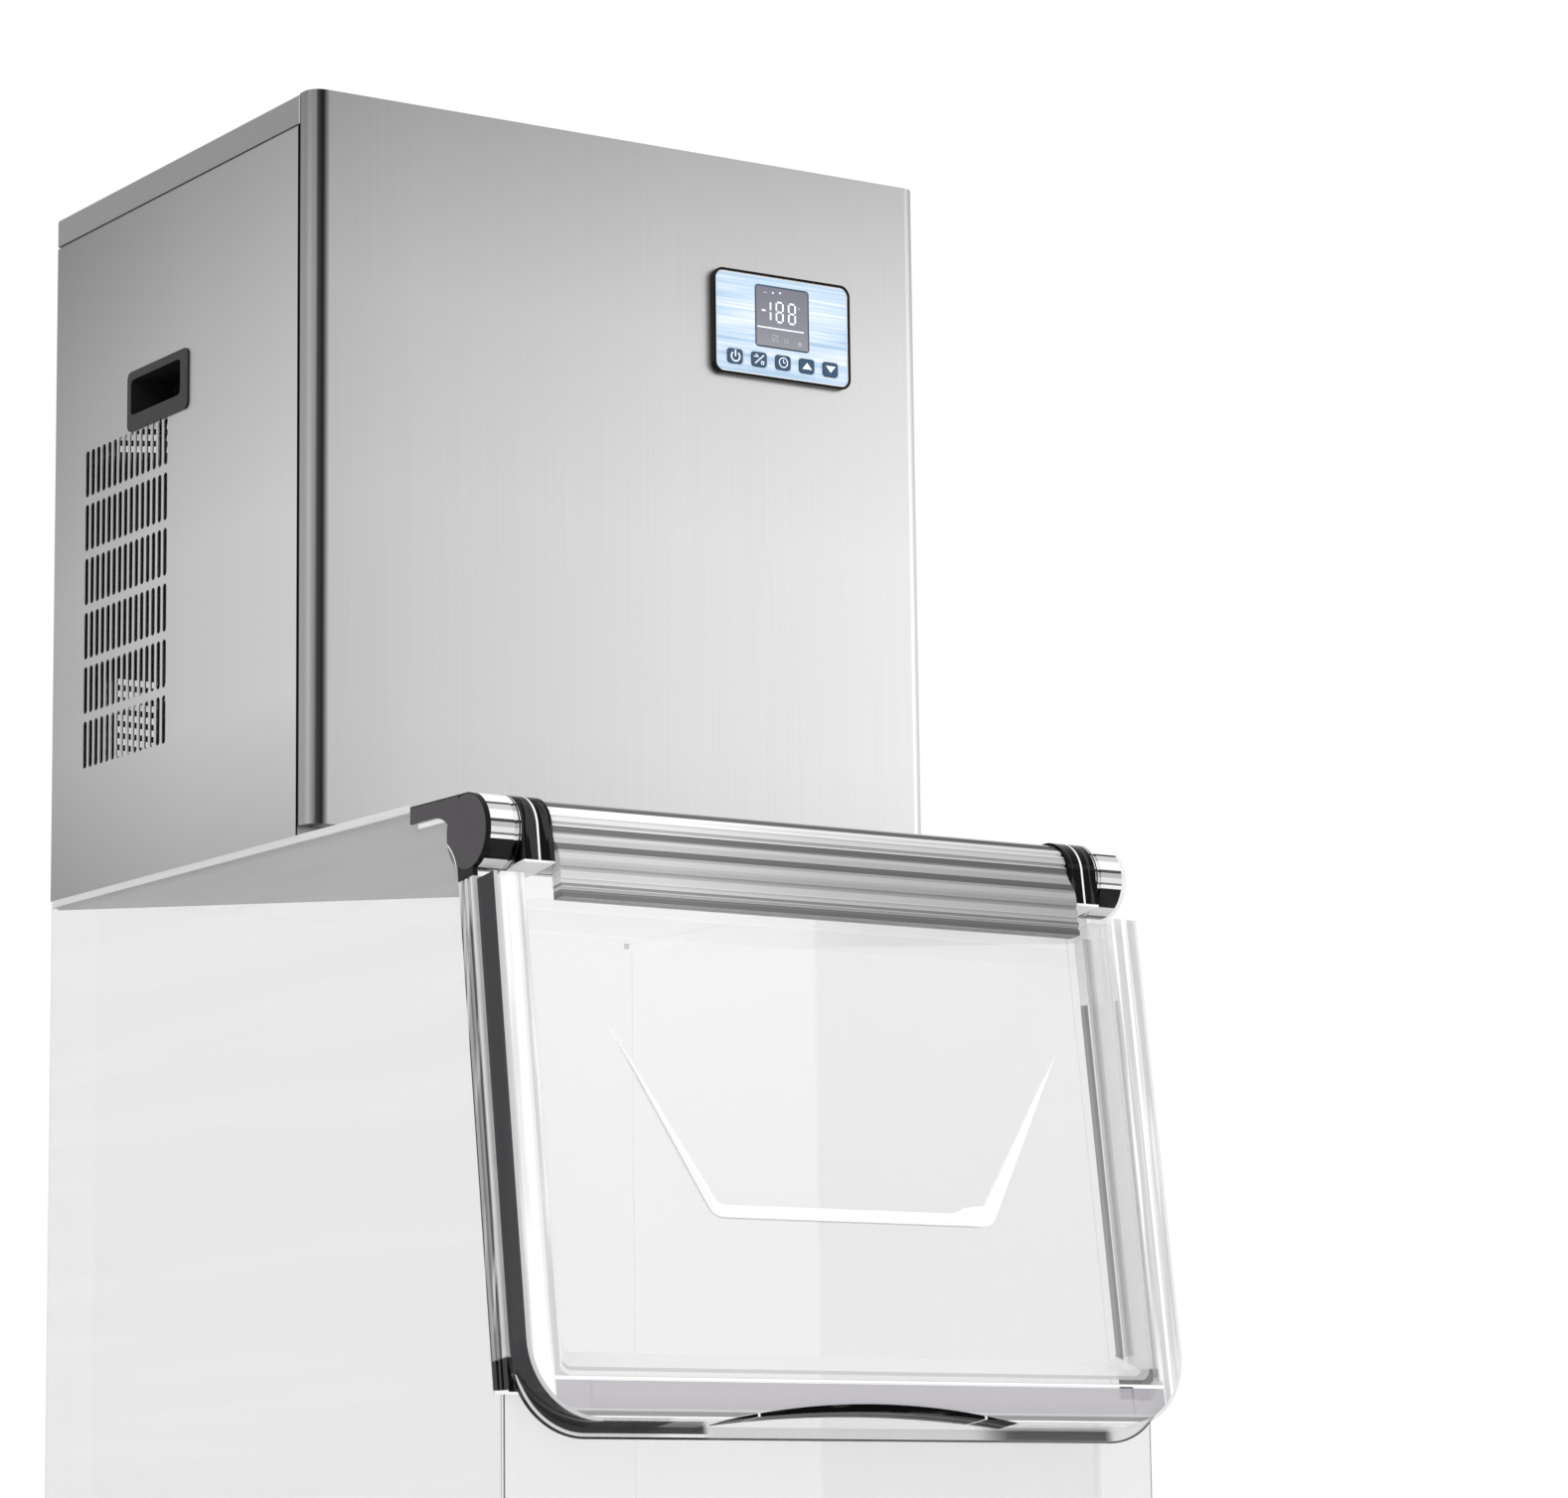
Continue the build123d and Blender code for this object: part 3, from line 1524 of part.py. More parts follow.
float_x = trough_x0 + float_inset
float_back = divider_back - float_setback
pivot_x = trough_x0 + pivot_inset
pivot_up = trough_top + pivot_rise
float_top = pivot_up - float_drop
float_foot = float_top - float_height
valve_x0 = trough_x0 + valve_inset
valve_x1 = valve_x0 + valve_width
valve_front = divider_back - valve_depth
valve_foot = trough_top + valve_rise
valve_top = valve_foot + valve_height
slot_x = valve_x0 + slot_inset
with BuildPart() as float_valve:
    head_block(valve_x0, valve_x1, valve_front, divider_back, valve_foot, valve_top)
    head_block(
        slot_x,
        valve_x1,
        float_back - slot_width / 2,
        float_back + slot_width / 2,
        valve_foot,
        valve_top,
        mode=Mode.SUBTRACT,
    )
    head_rod(
        pivot_pin + running_gap,
        (pivot_x, float_back - 2 * pin_half, pivot_up),
        (pivot_x, float_back + pin_half + 1, pivot_up),
        mode=Mode.SUBTRACT,
    )
    head_rod(
        riser_radius,
        ((valve_x0 + slot_x) / 2, float_back, valve_top),
        ((valve_x0 + slot_x) / 2, float_back, valve_top + 2 * riser_radius),
    )
float_valve.part.label = "float_valve"
export_step(float_valve.part, "parts/float_valve.step")

with BuildPart() as float_arm:
    head_rod(
        pivot_pin,
        (pivot_x, float_back - pin_half, pivot_up),
        (pivot_x, float_back + pin_half, pivot_up),
    )
    head_rod(
        arm_height / 2 + 1,
        (pivot_x, float_back - arm_thickness / 2, pivot_up),
        (pivot_x, float_back + arm_thickness / 2, pivot_up),
    )
    head_block(
        pivot_x,
        float_x + arm_height / 2,
        float_back - arm_thickness / 2,
        float_back + arm_thickness / 2,
        pivot_up - arm_height / 2,
        pivot_up + arm_height / 2,
    )
    head_rod(arm_height / 2, (float_x, float_back, float_top), (float_x, float_back, pivot_up))
    head_rod(float_radius, (float_x, float_back, float_foot), (float_x, float_back, float_top))
float_arm.part.label = "float_arm"
export_step(float_arm.part, "parts/float_arm.step")

# Compressor on its rubber mounts
compressor_x = 80.0
compressor_shift = 1.5
compressor_radius = 72.0
compressor_foot = 34.0
compressor_top = 235.0
compressor_round = 30.0
plate_half = 85.0
plate_thickness = 4.0
mount_radius = 12.0
mount_inset = 16.0

compressor_back = (divider_back + head_depth) / 2 - compressor_shift
with BuildPart() as compressor:
    head_rod(
        compressor_radius,
        (compressor_x, compressor_back, compressor_foot),
        (compressor_x, compressor_back, compressor_top),
    )
    fillet(compressor.edges().group_by(Axis.Z)[-1], compressor_round)
    head_block(
        compressor_x - plate_half,
        compressor_x + plate_half,
        compressor_back - plate_half,
        compressor_back + plate_half,
        compressor_foot - plate_thickness,
        compressor_foot,
    )
    head_block(
        compressor_x + compressor_radius - plate_thickness,
        compressor_x + plate_half,
        compressor_back - compressor_round,
        compressor_back + compressor_round,
        compressor_foot + compressor_radius,
        compressor_foot + 2 * compressor_radius,
    )
compressor.part.label = "compressor"
export_step(compressor.part, "parts/compressor.step")

with BuildPart() as compressor_mounts:
    for sx in (-1, 1):
        for sy in (-1, 1):
            x = compressor_x + sx * (plate_half - mount_inset)
            back = compressor_back + sy * (plate_half - mount_inset)
            head_rod(
                mount_radius,
                (x, back, pan_sheet),
                (x, back, compressor_foot - plate_thickness),
            )
compressor_mounts.part.label = "compressor_mounts"
export_step(compressor_mounts.part, "parts/compressor_mounts.step")

# Condenser, its shroud, fan motor and fan
condenser_inset = 18.0
condenser_depth = 40.0
condenser_front_air = 25.0
condenser_rear_air = 23.0
condenser_foot = 60.0
condenser_top = 360.0
condenser_plate = 2.0
fin_pitch = 5.0
fin_slot = 3.6
fin_depth = 8.0
shroud_depth = 22.0
shroud_wall = 1.5
mouth_rim = 7.5
tip_gap = 5.0
fan_air = 9.5
fan_depth = 24.0
fan_blades = 5
fan_hub = 18.0
fan_shaft = 4.0
fan_motor_air = 7.0
fan_motor_length = 54.0
fan_motor_radius = 32.0
bracket_thickness = 4.0
bracket_width = 14.0
bracket_lap = 8.0

condenser_x0 = -half_width + condenser_inset
condenser_x1 = condenser_x0 + condenser_depth
condenser_front = divider_back + condenser_front_air
condenser_rear = head_depth - condenser_rear_air
shroud_x1 = condenser_x1 + shroud_depth
fan_back = (condenser_front + condenser_rear) / 2
fan_up = (condenser_foot + condenser_top) / 2
fan_mouth = (condenser_rear - condenser_front) / 2 - mouth_rim
fan_radius = fan_mouth - tip_gap
fan_x0 = shroud_x1 + fan_air
fan_x1 = fan_x0 + fan_depth
fan_motor_x0 = fan_x1 + fan_motor_air
fan_motor_x1 = fan_motor_x0 + fan_motor_length
bracket_reach = fan_mouth + bracket_lap
fin_count = int((condenser_rear - condenser_front - 2 * condenser_plate) / fin_pitch) - 1
with BuildPart() as condenser:
    head_block(
        condenser_x0,
        condenser_x1,
        condenser_front,
        condenser_rear,
        condenser_foot,
        condenser_top,
    )
    with BuildSketch(side_plane(condenser_x0)):
        with Locations(
            (
                (condenser_front + condenser_rear) / 2,
                (condenser_foot + condenser_top) / 2,
            )
        ):
            with GridLocations(fin_pitch, fin_pitch, fin_count, 1):
                Rectangle(fin_slot, condenser_top - condenser_foot - 2 * condenser_plate)
    extrude(amount=fin_depth, mode=Mode.SUBTRACT)
    for back0, back1 in (
        (condenser_front - condenser_plate, condenser_front),
        (condenser_rear, condenser_rear + condenser_plate),
    ):
        head_block(condenser_x0, condenser_x1, back0, back1, pan_sheet, condenser_top)
condenser.part.label = "condenser"
export_step(condenser.part, "parts/condenser.step")

with BuildPart() as fan_shroud:
    head_block(
        condenser_x1,
        shroud_x1,
        condenser_front,
        condenser_rear,
        condenser_foot,
        condenser_top,
    )
    head_block(
        condenser_x1,
        shroud_x1 - shroud_wall,
        condenser_front + shroud_wall,
        condenser_rear - shroud_wall,
        condenser_foot + shroud_wall,
        condenser_top - shroud_wall,
        mode=Mode.SUBTRACT,
    )
    head_rod(
        fan_mouth,
        (condenser_x1, fan_back, fan_up),
        (shroud_x1 + shroud_wall, fan_back, fan_up),
        mode=Mode.SUBTRACT,
    )
fan_shroud.part.label = "fan_shroud"
export_step(fan_shroud.part, "parts/fan_shroud.step")

with BuildPart() as fan_motor:
    head_rod(fan_motor_radius, (fan_motor_x0, fan_back, fan_up), (fan_motor_x1, fan_back, fan_up))
    head_rod(fan_shaft, (fan_x0, fan_back, fan_up), (fan_motor_x0, fan_back, fan_up))
    head_block(
        fan_motor_x0,
        fan_motor_x0 + bracket_thickness,
        fan_back - bracket_width / 2,
        fan_back + bracket_width / 2,
        fan_up - bracket_reach,
        fan_up + bracket_reach,
    )
    for side in (-1, 1):
        up0, up1 = sorted(
            (fan_up + side * bracket_reach, fan_up + side * (bracket_reach - bracket_thickness))
        )
        head_block(
            shroud_x1,
            fan_motor_x0,
            fan_back - bracket_width / 2,
            fan_back + bracket_width / 2,
            up0,
            up1,
        )
fan_motor.part.label = "fan_motor"
export_step(fan_motor.part, "parts/fan_motor.step")

blade_root = 15.0
blade_width = 34.0
blade_thickness = 2.0
blade_pitch = 30.0

blade_length = fan_radius - blade_root
with BuildPart() as fan_blade:
    head_rod(fan_hub, (fan_x0, fan_back, fan_up), (fan_x1, fan_back, fan_up))
    for turn in range(fan_blades):
        angle = 360 / fan_blades * turn
        spoke = Plane(
            origin=head_point((fan_x0 + fan_x1) / 2, fan_back, fan_up), z_dir=(1, 0, 0)
        ).rotated((0, 0, angle))
        with Locations(spoke * Location((fan_radius - blade_length / 2, 0, 0), (blade_pitch, 0, 0))):
            Box(blade_length, blade_width, blade_thickness)
    head_rod(
        fan_shaft + running_gap,
        (fan_x0 - blade_width, fan_back, fan_up),
        (fan_x1 + blade_width, fan_back, fan_up),
        mode=Mode.SUBTRACT,
    )
fan_blade.part.label = "fan_blade"
export_step(fan_blade.part, "parts/fan_blade.step")

# Refrigerant lines and drier
line_radius = 4.0
line_bend = 14.0
drier_radius = 12.0
drier_up0 = 190.0
drier_up1 = 300.0
liquid_setback = 43.0
liquid_rise = 400.0
liquid_fall = 150.0
discharge_up = 430.0
wall_clearance = 40.0

line_x = condenser_x1 - line_bend
liquid_back = head_depth - liquid_setback
behind_wall = divider_back + wall_clearance
suction_up = compressor_foot + compressor_radius
suction_end = (
    compressor_back
    - math.sqrt(compressor_radius**2 - (suction_x - compressor_x - line_radius) ** 2)
    - seam
)


def line(*points):
    """A round tube along this polyline, with rounded bends."""
    with BuildPart() as tube:
        with BuildLine() as path:
            FilletPolyline(*[head_point(*point) for point in points], radius=line_bend)
        with BuildSketch(Plane(origin=path.line @ 0, z_dir=path.line % 0)):
            Circle(line_radius)
        sweep()
    return tube.part


with BuildPart() as refrigerant_lines:
    add(
        line(
            (compressor_x, compressor_back, compressor_top),
            (compressor_x, compressor_back, discharge_up),
            (line_x, compressor_back, discharge_up),
            (line_x, compressor_back, condenser_top),
        )
    )
    add(
        line(
            (line_x, liquid_back, condenser_top),
            (line_x, liquid_back, liquid_rise),
            (liquid_x, liquid_back, liquid_rise),
            (liquid_x, liquid_back, drier_up1),
        )
    )
    head_rod(
        drier_radius,
        (liquid_x, liquid_back, drier_up0),
        (liquid_x, liquid_back, drier_up1),
    )
    add(
        line(
            (liquid_x, liquid_back, drier_up0),
            (liquid_x, liquid_back, liquid_fall),
            (liquid_x, behind_wall, liquid_fall),
            (liquid_x, behind_wall, line_up),
            (liquid_x, evaporator_back, line_up),
        )
    )
    add(
        line(
            (suction_x, evaporator_back, line_up),
            (suction_x, behind_wall - line_bend, line_up),
            (suction_x, behind_wall - line_bend, suction_up),
            (suction_x, suction_end, suction_up),
        )
    )
refrigerant_lines.part.label = "refrigerant_lines"
export_step(refrigerant_lines.part, "parts/refrigerant_lines.step")

# Water inlet valve and cable gland at the back
valve_body = 30.0
valve_body_setback = 43.0
port_bore = 8.0
port_collar = 17.0
gland_bore = 5.0
gland_collar = 14.0
collar_depth = 4.0

with BuildPart() as inlet_valve:
    head_block(
        port_x - valve_body / 2,
        port_x + valve_body / 2,
        head_depth - valve_body_setback,
        head_depth - sheet - collar_depth,
        port_up - valve_body / 2,
        port_up + valve_body / 2,
    )
    head_rod(
        port_collar,
        (port_x, head_depth - sheet - collar_depth, port_up),
        (port_x, head_depth - sheet, port_up),
    )
    head_rod(
        port_radius,
        (port_x, head_depth - sheet, port_up),
        (port_x, head_depth + port_reach, port_up),
    )
    head_rod(
        port_collar,
        (port_x, head_depth, port_up),
        (port_x, head_depth + collar_depth, port_up),
    )
    head_rod(
        port_bore,
        (port_x, head_depth - valve_body / 2, port_up),
        (port_x, head_depth + port_reach, port_up),
        mode=Mode.SUBTRACT,
    )
inlet_valve.part.label = "inlet_valve"
export_step(inlet_valve.part, "parts/inlet_valve.step")

with BuildPart() as power_inlet:
    head_rod(
        gland_radius,
        (gland_x, head_depth - sheet - collar_depth, port_up),
        (gland_x, head_depth + port_reach - 1, port_up),
    )
    head_rod(
        gland_collar,
        (gland_x, head_depth, port_up),
        (gland_x, head_depth + collar_depth, port_up),
    )
    head_rod(
        gland_collar,
        (gland_x, head_depth - sheet - collar_depth, port_up),
        (gland_x, head_depth - sheet, port_up),
    )
    head_rod(
        gland_bore,
        (gland_x, head_depth - 2 * gland_collar, port_up),
        (gland_x, head_depth + port_reach, port_up),
        mode=Mode.SUBTRACT,
    )
power_inlet.part.label = "power_inlet"
export_step(power_inlet.part, "parts/power_inlet.step")
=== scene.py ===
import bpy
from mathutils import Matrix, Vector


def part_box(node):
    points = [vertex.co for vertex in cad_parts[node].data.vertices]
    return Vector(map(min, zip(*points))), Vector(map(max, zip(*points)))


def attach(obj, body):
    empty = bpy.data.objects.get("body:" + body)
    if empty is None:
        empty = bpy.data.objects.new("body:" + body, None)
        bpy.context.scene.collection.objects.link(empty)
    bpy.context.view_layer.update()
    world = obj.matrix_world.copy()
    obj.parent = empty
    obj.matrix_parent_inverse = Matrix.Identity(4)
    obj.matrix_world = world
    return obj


bl_info = {
    "name": "Ice machine dressing",
    "version": (1, 0, 0),
    "blender": (4, 5, 0),
    "location": "View3D > Sidebar > Ice machine",
    "description": "Finishes, printed marks and studio for an ice machine on its clear bin",
    "category": "Object",
}

import math

import bmesh
import bpy
from mathutils import Matrix, Vector

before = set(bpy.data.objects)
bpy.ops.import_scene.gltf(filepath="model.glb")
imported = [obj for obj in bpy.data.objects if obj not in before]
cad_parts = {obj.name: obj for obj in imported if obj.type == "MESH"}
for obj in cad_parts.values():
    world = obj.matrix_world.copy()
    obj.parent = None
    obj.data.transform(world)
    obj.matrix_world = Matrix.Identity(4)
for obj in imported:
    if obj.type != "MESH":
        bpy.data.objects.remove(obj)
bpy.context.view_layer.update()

# Sizes in metres, in the frame of the CAD model
SLOPE = math.radians(7.4)
OUT = Vector((0, -math.cos(SLOPE), math.sin(SLOPE)))
DOWN = Vector((0, -math.sin(SLOPE), -math.cos(SLOPE)))
HEAD_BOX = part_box("front_panel")
HEAD_FRONT = HEAD_BOX[0][1]
BIN_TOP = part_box("bin_deck")[1][2]
HEAD = Vector((0, HEAD_FRONT, BIN_TOP))
HINGE = Vector((0, HEAD_FRONT - 0.230, BIN_TOP - 0.0295))
RIGHT = Vector((1, 0, 0))
BACK = Vector((0, 1, 0))
UP = Vector((0, 0, 1))
MILLI = 0.001
# The camera: its yaw, pitch and roll, and its place from the head's middle lower front edge
CAMERA_TURN = (math.radians(32.83), math.radians(9.409), -0.0095084519)
CAMERA_PLACE = (-2.032841, -3.24364, -0.549839)
# Pixels of the photo: the camera's focal length, the photo's width and the view's centre in it
FOCAL_PIXELS = 5056.917
PHOTO_WIDTH = 1578
VIEW_CENTRE = 699.758
SENSOR_WIDTH = 36.0
# Surfaces that light may pass through one behind the other in the clear bin and door
SEE_THROUGH_LAYERS = 64
WHITE = (1.0, 1.0, 1.0)

BUTTONS = ("power_button", "wash_button", "timer_button", "up_button", "down_button")
FEET = [f"foot_{end}_{side}" for end in ("front", "rear") for side in ("left", "right")]

# Places in millimetres from the middle of the head's lower front edge
SHELL_FRONT = (HEAD_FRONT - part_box("bin_shell")[0][1]) * 1000
DECK_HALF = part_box("bin_deck")[1][0] * 1000
CONTROL_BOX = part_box("control_bezel")
CONTROL_X = (CONTROL_BOX[0][0] + CONTROL_BOX[1][0]) * 500
CONTROL_UP = (CONTROL_BOX[0][2] + CONTROL_BOX[1][2] - 2 * BIN_TOP) * 500
DISPLAY_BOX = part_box("display_window")
DISPLAY_UP = (DISPLAY_BOX[0][2] + DISPLAY_BOX[1][2] - 2 * BIN_TOP) * 500
DISPLAY_FACE = (DISPLAY_BOX[0][1] - HEAD_FRONT) * 1000
BUTTON_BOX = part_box("timer_button")
BUTTON_UP = (BUTTON_BOX[0][2] + BUTTON_BOX[1][2] - 2 * BIN_TOP) * 500
BUTTON_FACE = (BUTTON_BOX[0][1] - HEAD_FRONT) * 1000
# Centre behind and under the hinge axis, and radius, of the curved painted highlight line on the
# gussets
GUSSET_ARC = (46.0, 34.0, 33.0)
# Pocket in the door's pane, from the hinge axis: its top and foot, and half its width at each
POCKET_TOP = 140.0
POCKET_FOOT = 275.8
POCKET_TOP_HALF = 195.5
POCKET_FOOT_HALF = 120.0
# Width of the painted highlight band at the pocket's foot, on its left and on its right
POCKET_LEFT_HIGHLIGHT = 26.0
POCKET_RIGHT_HIGHLIGHT = 11.0


def grey(level):
    """The linear colour of a grey whose display level is this, from 0 to 255."""
    share = level / 255
    linear = share / 12.92 if share <= 0.04045 else ((share + 0.055) / 1.055) ** 2.4
    return (linear, linear, linear)


# Node building


class Finish:
    """One material being built: adds its nodes and joins them."""

    def __init__(self, name):
        self.material = bpy.data.materials.new(name)
        self.material.use_nodes = True
        self.tree = self.material.node_tree
        self.tree.nodes.clear()
        self.output = self.tree.nodes.new("ShaderNodeOutputMaterial")

    def add(self, kind, inputs, **settings):
        """Adds a node, sets it up and feeds its inputs with values or sockets."""
        node = self.tree.nodes.new("ShaderNode" + kind)
        for key, value in settings.items():
            setattr(node, key, value)
        for key, value in inputs.items():
            socket = node.inputs[key]
            if isinstance(value, bpy.types.NodeSocket):
                self.tree.links.new(value, socket)
            elif socket.type == "RGBA":
                socket.default_value = (*value[:3], 1)
            else:
                socket.default_value = value
        return node

    def position(self):
        """The point on the surface, in the piece's own coordinates."""
        return self.add("TexCoord", {}).outputs["Object"]

    def along(self, origin, direction):
        """Millimetres from the origin along a direction."""
        offset = self.add("VectorMath", {0: self.position(), 1: origin}, operation="SUBTRACT")
        return self.add(
            "VectorMath",
            {0: offset.outputs[0], 1: direction / MILLI},
            operation="DOT_PRODUCT",
        ).outputs["Value"]

    def maths(self, operation, a, b=0.0, c=0.0):
        """One step of arithmetic."""
        return self.add("Math", {0: a, 1: b, 2: c}, operation=operation).outputs[0]

    def size_of(self, value):
        """The value without its sign."""
        return self.maths("ABSOLUTE", value)

    def past(self, value, edge, soft=0.3):
        """One where the value is over the edge, and zero under it. Either may be a socket."""
        over = self.maths("SUBTRACT", value, edge)
        return self.add(
            "MapRange",
            {"Value": over, "From Min": -soft, "From Max": soft},
            interpolation_type="SMOOTHSTEP",
        ).outputs["Result"]

    def between(self, value, low, high, soft=0.3):
        """One between the two limits."""
        return self.maths("SUBTRACT", self.past(value, low, soft), self.past(value, high, soft))

    def both(self, *masks):
        """One where every mask is."""
        result = masks[0]
        for mask in masks[1:]:
            result = self.maths("MULTIPLY", result, mask)
        return result

    def either(self, *masks):
        """One where any mask is."""
        result = masks[0]
        for mask in masks[1:]:
            result = self.maths("MAXIMUM", result, mask)
        return result

    def blend(self, factor, a, b):
        """The colour a, with the colour b where the factor is one."""
        return self.add(
            "Mix", {"Factor": factor, 6: a, 7: b}, data_type="RGBA"
        ).outputs[2]

    def shift(self, factor, a, b):
        """The number a, with the number b where the factor is one."""
        return self.add("Mix", {"Factor": factor, 2: a, 3: b}).outputs[0]

    def times(self, a, b):
        """Two colours multiplied."""
        return self.add(
            "Mix", {"Factor": 1.0, 6: a, 7: b}, data_type="RGBA", blend_type="MULTIPLY"
        ).outputs[2]

    def length(self, a, b):
        """The length of the sides a and b put at a right angle."""
        square = self.maths("MULTIPLY_ADD", a, a, self.maths("MULTIPLY", b, b))
        return self.maths("SQRT", square)

    def facing(self, direction):
        """How far the surface faces a direction, from -1 to 1."""
        normal = self.add("TexCoord", {}).outputs["Normal"]
        return self.add(
            "VectorMath", {0: normal, 1: direction}, operation="DOT_PRODUCT"
        ).outputs["Value"]

    def inside(self, across, down, half, foot, corner):
        """Millimetres in from an outline whose two lower corners are round."""
        level = self.maths("SUBTRACT", self.size_of(across), half - corner)
        fall = self.maths("SUBTRACT", down, foot - corner)
        reach = self.length(self.maths("MAXIMUM", level, 0.0), self.maths("MAXIMUM", fall, 0.0))
        return self.maths("SUBTRACT", corner, reach)

    def bands(self, value, stops):
        """A tone and an alpha in bands: each has where it starts, its level and its alpha."""
        low, high = stops[0][0], stops[-1][0]
        share = self.add(
            "MapRange", {"Value": value, "From Min": low, "From Max": high}
        ).outputs["Result"]
        outputs = []
        for colours in ([grey(stop[1]) for stop in stops], [(stop[2],) * 3 for stop in stops]):
            node = self.add("ValToRGB", {"Fac": share})
            node.color_ramp.interpolation = "CONSTANT"
            marks = node.color_ramp.elements
            for stop, colour in zip(stops[1:-1], colours[1:-1]):
                marks.new((stop[0] - low) / (high - low)).color = (*colour, 1)
            marks[0].color = (*colours[0], 1)
            marks[-1].color = (*colours[-1], 1)
            outputs.append(node.outputs["Color"])
        return outputs

    def strips(self, value, stops):
        """A tone in bands: each has where it starts and its level."""
        return self.bands(value, [(start, level, 1) for start, level in stops])[0]

    def ramp(self, value, stops):
        """A colour that runs through the stops, each a place and a colour."""
        low, high = stops[0][0], stops[-1][0]
        share = self.add(
            "MapRange", {"Value": value, "From Min": low, "From Max": high}
        ).outputs["Result"]
        node = self.add("ValToRGB", {"Fac": share})
        marks = node.color_ramp.elements
        for place, colour in stops[1:-1]:
            marks.new((place - low) / (high - low)).color = (*colour, 1)
        marks[0].color = (*stops[0][1], 1)
        marks[-1].color = (*stops[-1][1], 1)
        return node.outputs["Color"]

    def noise(self, stretch, detail=3.0, roughness=0.5):
        """Noise with this many cells per metre along X, Y and Z."""
        scaled = self.add("Mapping", {"Vector": self.position(), "Scale": stretch})
        return self.add(
            "TexNoise",
            {"Vector": scaled.outputs[0], "Scale": 1.0, "Detail": detail, "Roughness": roughness},
        ).outputs["Fac"]

    def bump(self, height, distance, strength=1.0):
        """A surface normal from a height."""
        return self.add(
            "Bump", {"Height": height, "Distance": distance, "Strength": strength}
        ).outputs["Normal"]

    def finish(self, shader):
        """Ends the material in this shader."""
        self.tree.links.new(shader, self.output.inputs["Surface"])
        return self.material

    def principled(self, **inputs):
        """The main shader, with its inputs by name."""
        names = {key.replace("_", " "): value for key, value in inputs.items()}
        return self.add("BsdfPrincipled", names).outputs[0]


def dress(material, *nodes):
    """Gives CAD nodes a material."""
    for name in nodes:
        for material_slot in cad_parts[name].material_slots:
            material_slot.material = material


# Finishes


def brushed(name, tone, grain, rough=0.33):
    """Brushed stainless steel: a tone built by the caller and grain along this stretch."""
    mat = Finish(name)
    lines = mat.noise(grain, detail=4.0, roughness=0.65)
    colour = tone(mat)
    dark = mat.add("HueSaturation", {"Color": colour, "Value": 0.95}).outputs[0]
    base = mat.blend(mat.past(lines, 0.5, 0.25), dark, colour)
    shader = mat.principled(
        Base_Color=base,
        Metallic=1.0,
        Roughness=mat.maths("MULTIPLY_ADD", lines, 0.16, rough - 0.08),
        Anisotropic=0.4,
        Normal=mat.bump(lines, 0.00002, 0.35),
    )
    return mat.finish(shader)


def front_painted_light_tone(mat):
    """Painted shade, darker at the top and towards the left, with a painted reflection of a bright
    line and a dark band by the rounded left edge.
    """
    up = mat.along(HEAD, UP)
    across = mat.along(HEAD, RIGHT)
    behind = mat.along(HEAD, BACK)
    # Painted shade: the steel gets darker towards the top
    tone = mat.ramp(
        up, ((0, grey(205)), (90, grey(211)), (260, grey(210)), (420, grey(198)), (571, grey(170)))
    )
    # Painted shade: darker towards the left
    shade = mat.ramp(
        across, ((-280, grey(222)), (-180, grey(236)), (40, grey(250)), (280, grey(255)))
    )
    # Painted reflection of the rounded left edge: a bright line, then a dark band, then a bright
    # line
    edge = mat.ramp(
        across,
        (
            (-280, grey(215)), (-278.5, grey(250)), (-276.5, grey(190)), (-274, grey(85)),
            (-270, grey(60)), (-268, grey(150)), (-264.5, grey(255)),
        ),
    )
    body = mat.times(tone, shade)
    seam = mat.past(behind, 18.0, 0.4)
    return mat.blend(seam, mat.times(body, edge), grey(28))


def side_painted_shade_tone(mat):
    """Painted shade, darker at the top, at the foot and towards the back."""
    up = mat.along(HEAD, UP)
    behind = mat.along(HEAD, BACK)
    # Painted shade: darker at the foot and the top
    tone = mat.ramp(
        up, ((0, grey(181)), (110, grey(206)), (250, grey(206)), (420, grey(183)), (571, grey(152)))
    )
    # Painted shade: darker towards the back
    shade = mat.ramp(behind, ((20, grey(255)), (200, grey(243)), (443, grey(210))))
    seam = mat.past(22.4, behind, 0.3)
    return mat.blend(seam, mat.times(tone, shade), grey(28))


def plain_tone(level):
    """An even grey."""
    return lambda mat: mat.blend(0.0, grey(level), grey(level))


def moulded(name, colour, rough=0.45, grain=260.0, depth=0.00003, **inputs):
    """Moulded plastic or paint with a fine even texture."""
    mat = Finish(name)
    speck = mat.noise((grain, grain, grain))
    base = mat.blend(speck, [c * 0.92 for c in colour], [min(1, c * 1.08) for c in colour])
    shader = mat.principled(
        Base_Color=base,
        Roughness=mat.maths("MULTIPLY_ADD", speck, 0.1, rough - 0.05),
        Normal=mat.bump(speck, depth, 0.4),
        **inputs,
    )
    return mat.finish(shader)


def metal(name, colour, rough=0.2, stretch=(300, 300, 300)):
    """Plain machined or plated metal."""
    mat = Finish(name)
    lines = mat.noise(stretch, detail=4.0)
    base = mat.blend(lines, [c * 0.9 for c in colour], colour)
    shader = mat.principled(
        Base_Color=base,
        Metallic=1.0,
        Roughness=mat.maths("MULTIPLY_ADD", lines, 0.12, rough - 0.06),
    )
    return mat.finish(shader)


def see_through(mat, colour, alpha, rough=0.06, specular=0.25, **inputs):
    """Ends a clear material: a glossy shell whose body shows by its alpha."""
    shader = mat.principled(
        Base_Color=colour, Roughness=rough, Alpha=alpha, Specular_IOR_Level=specular, **inputs
    )
    return mat.finish(shader)


def door_axes(mat):
    """Across, out of and down the door, in millimetres from the hinge axis."""
    return (
        mat.along(HINGE, RIGHT),
        mat.along(HINGE, OUT),
        mat.along(HINGE, DOWN),
    )


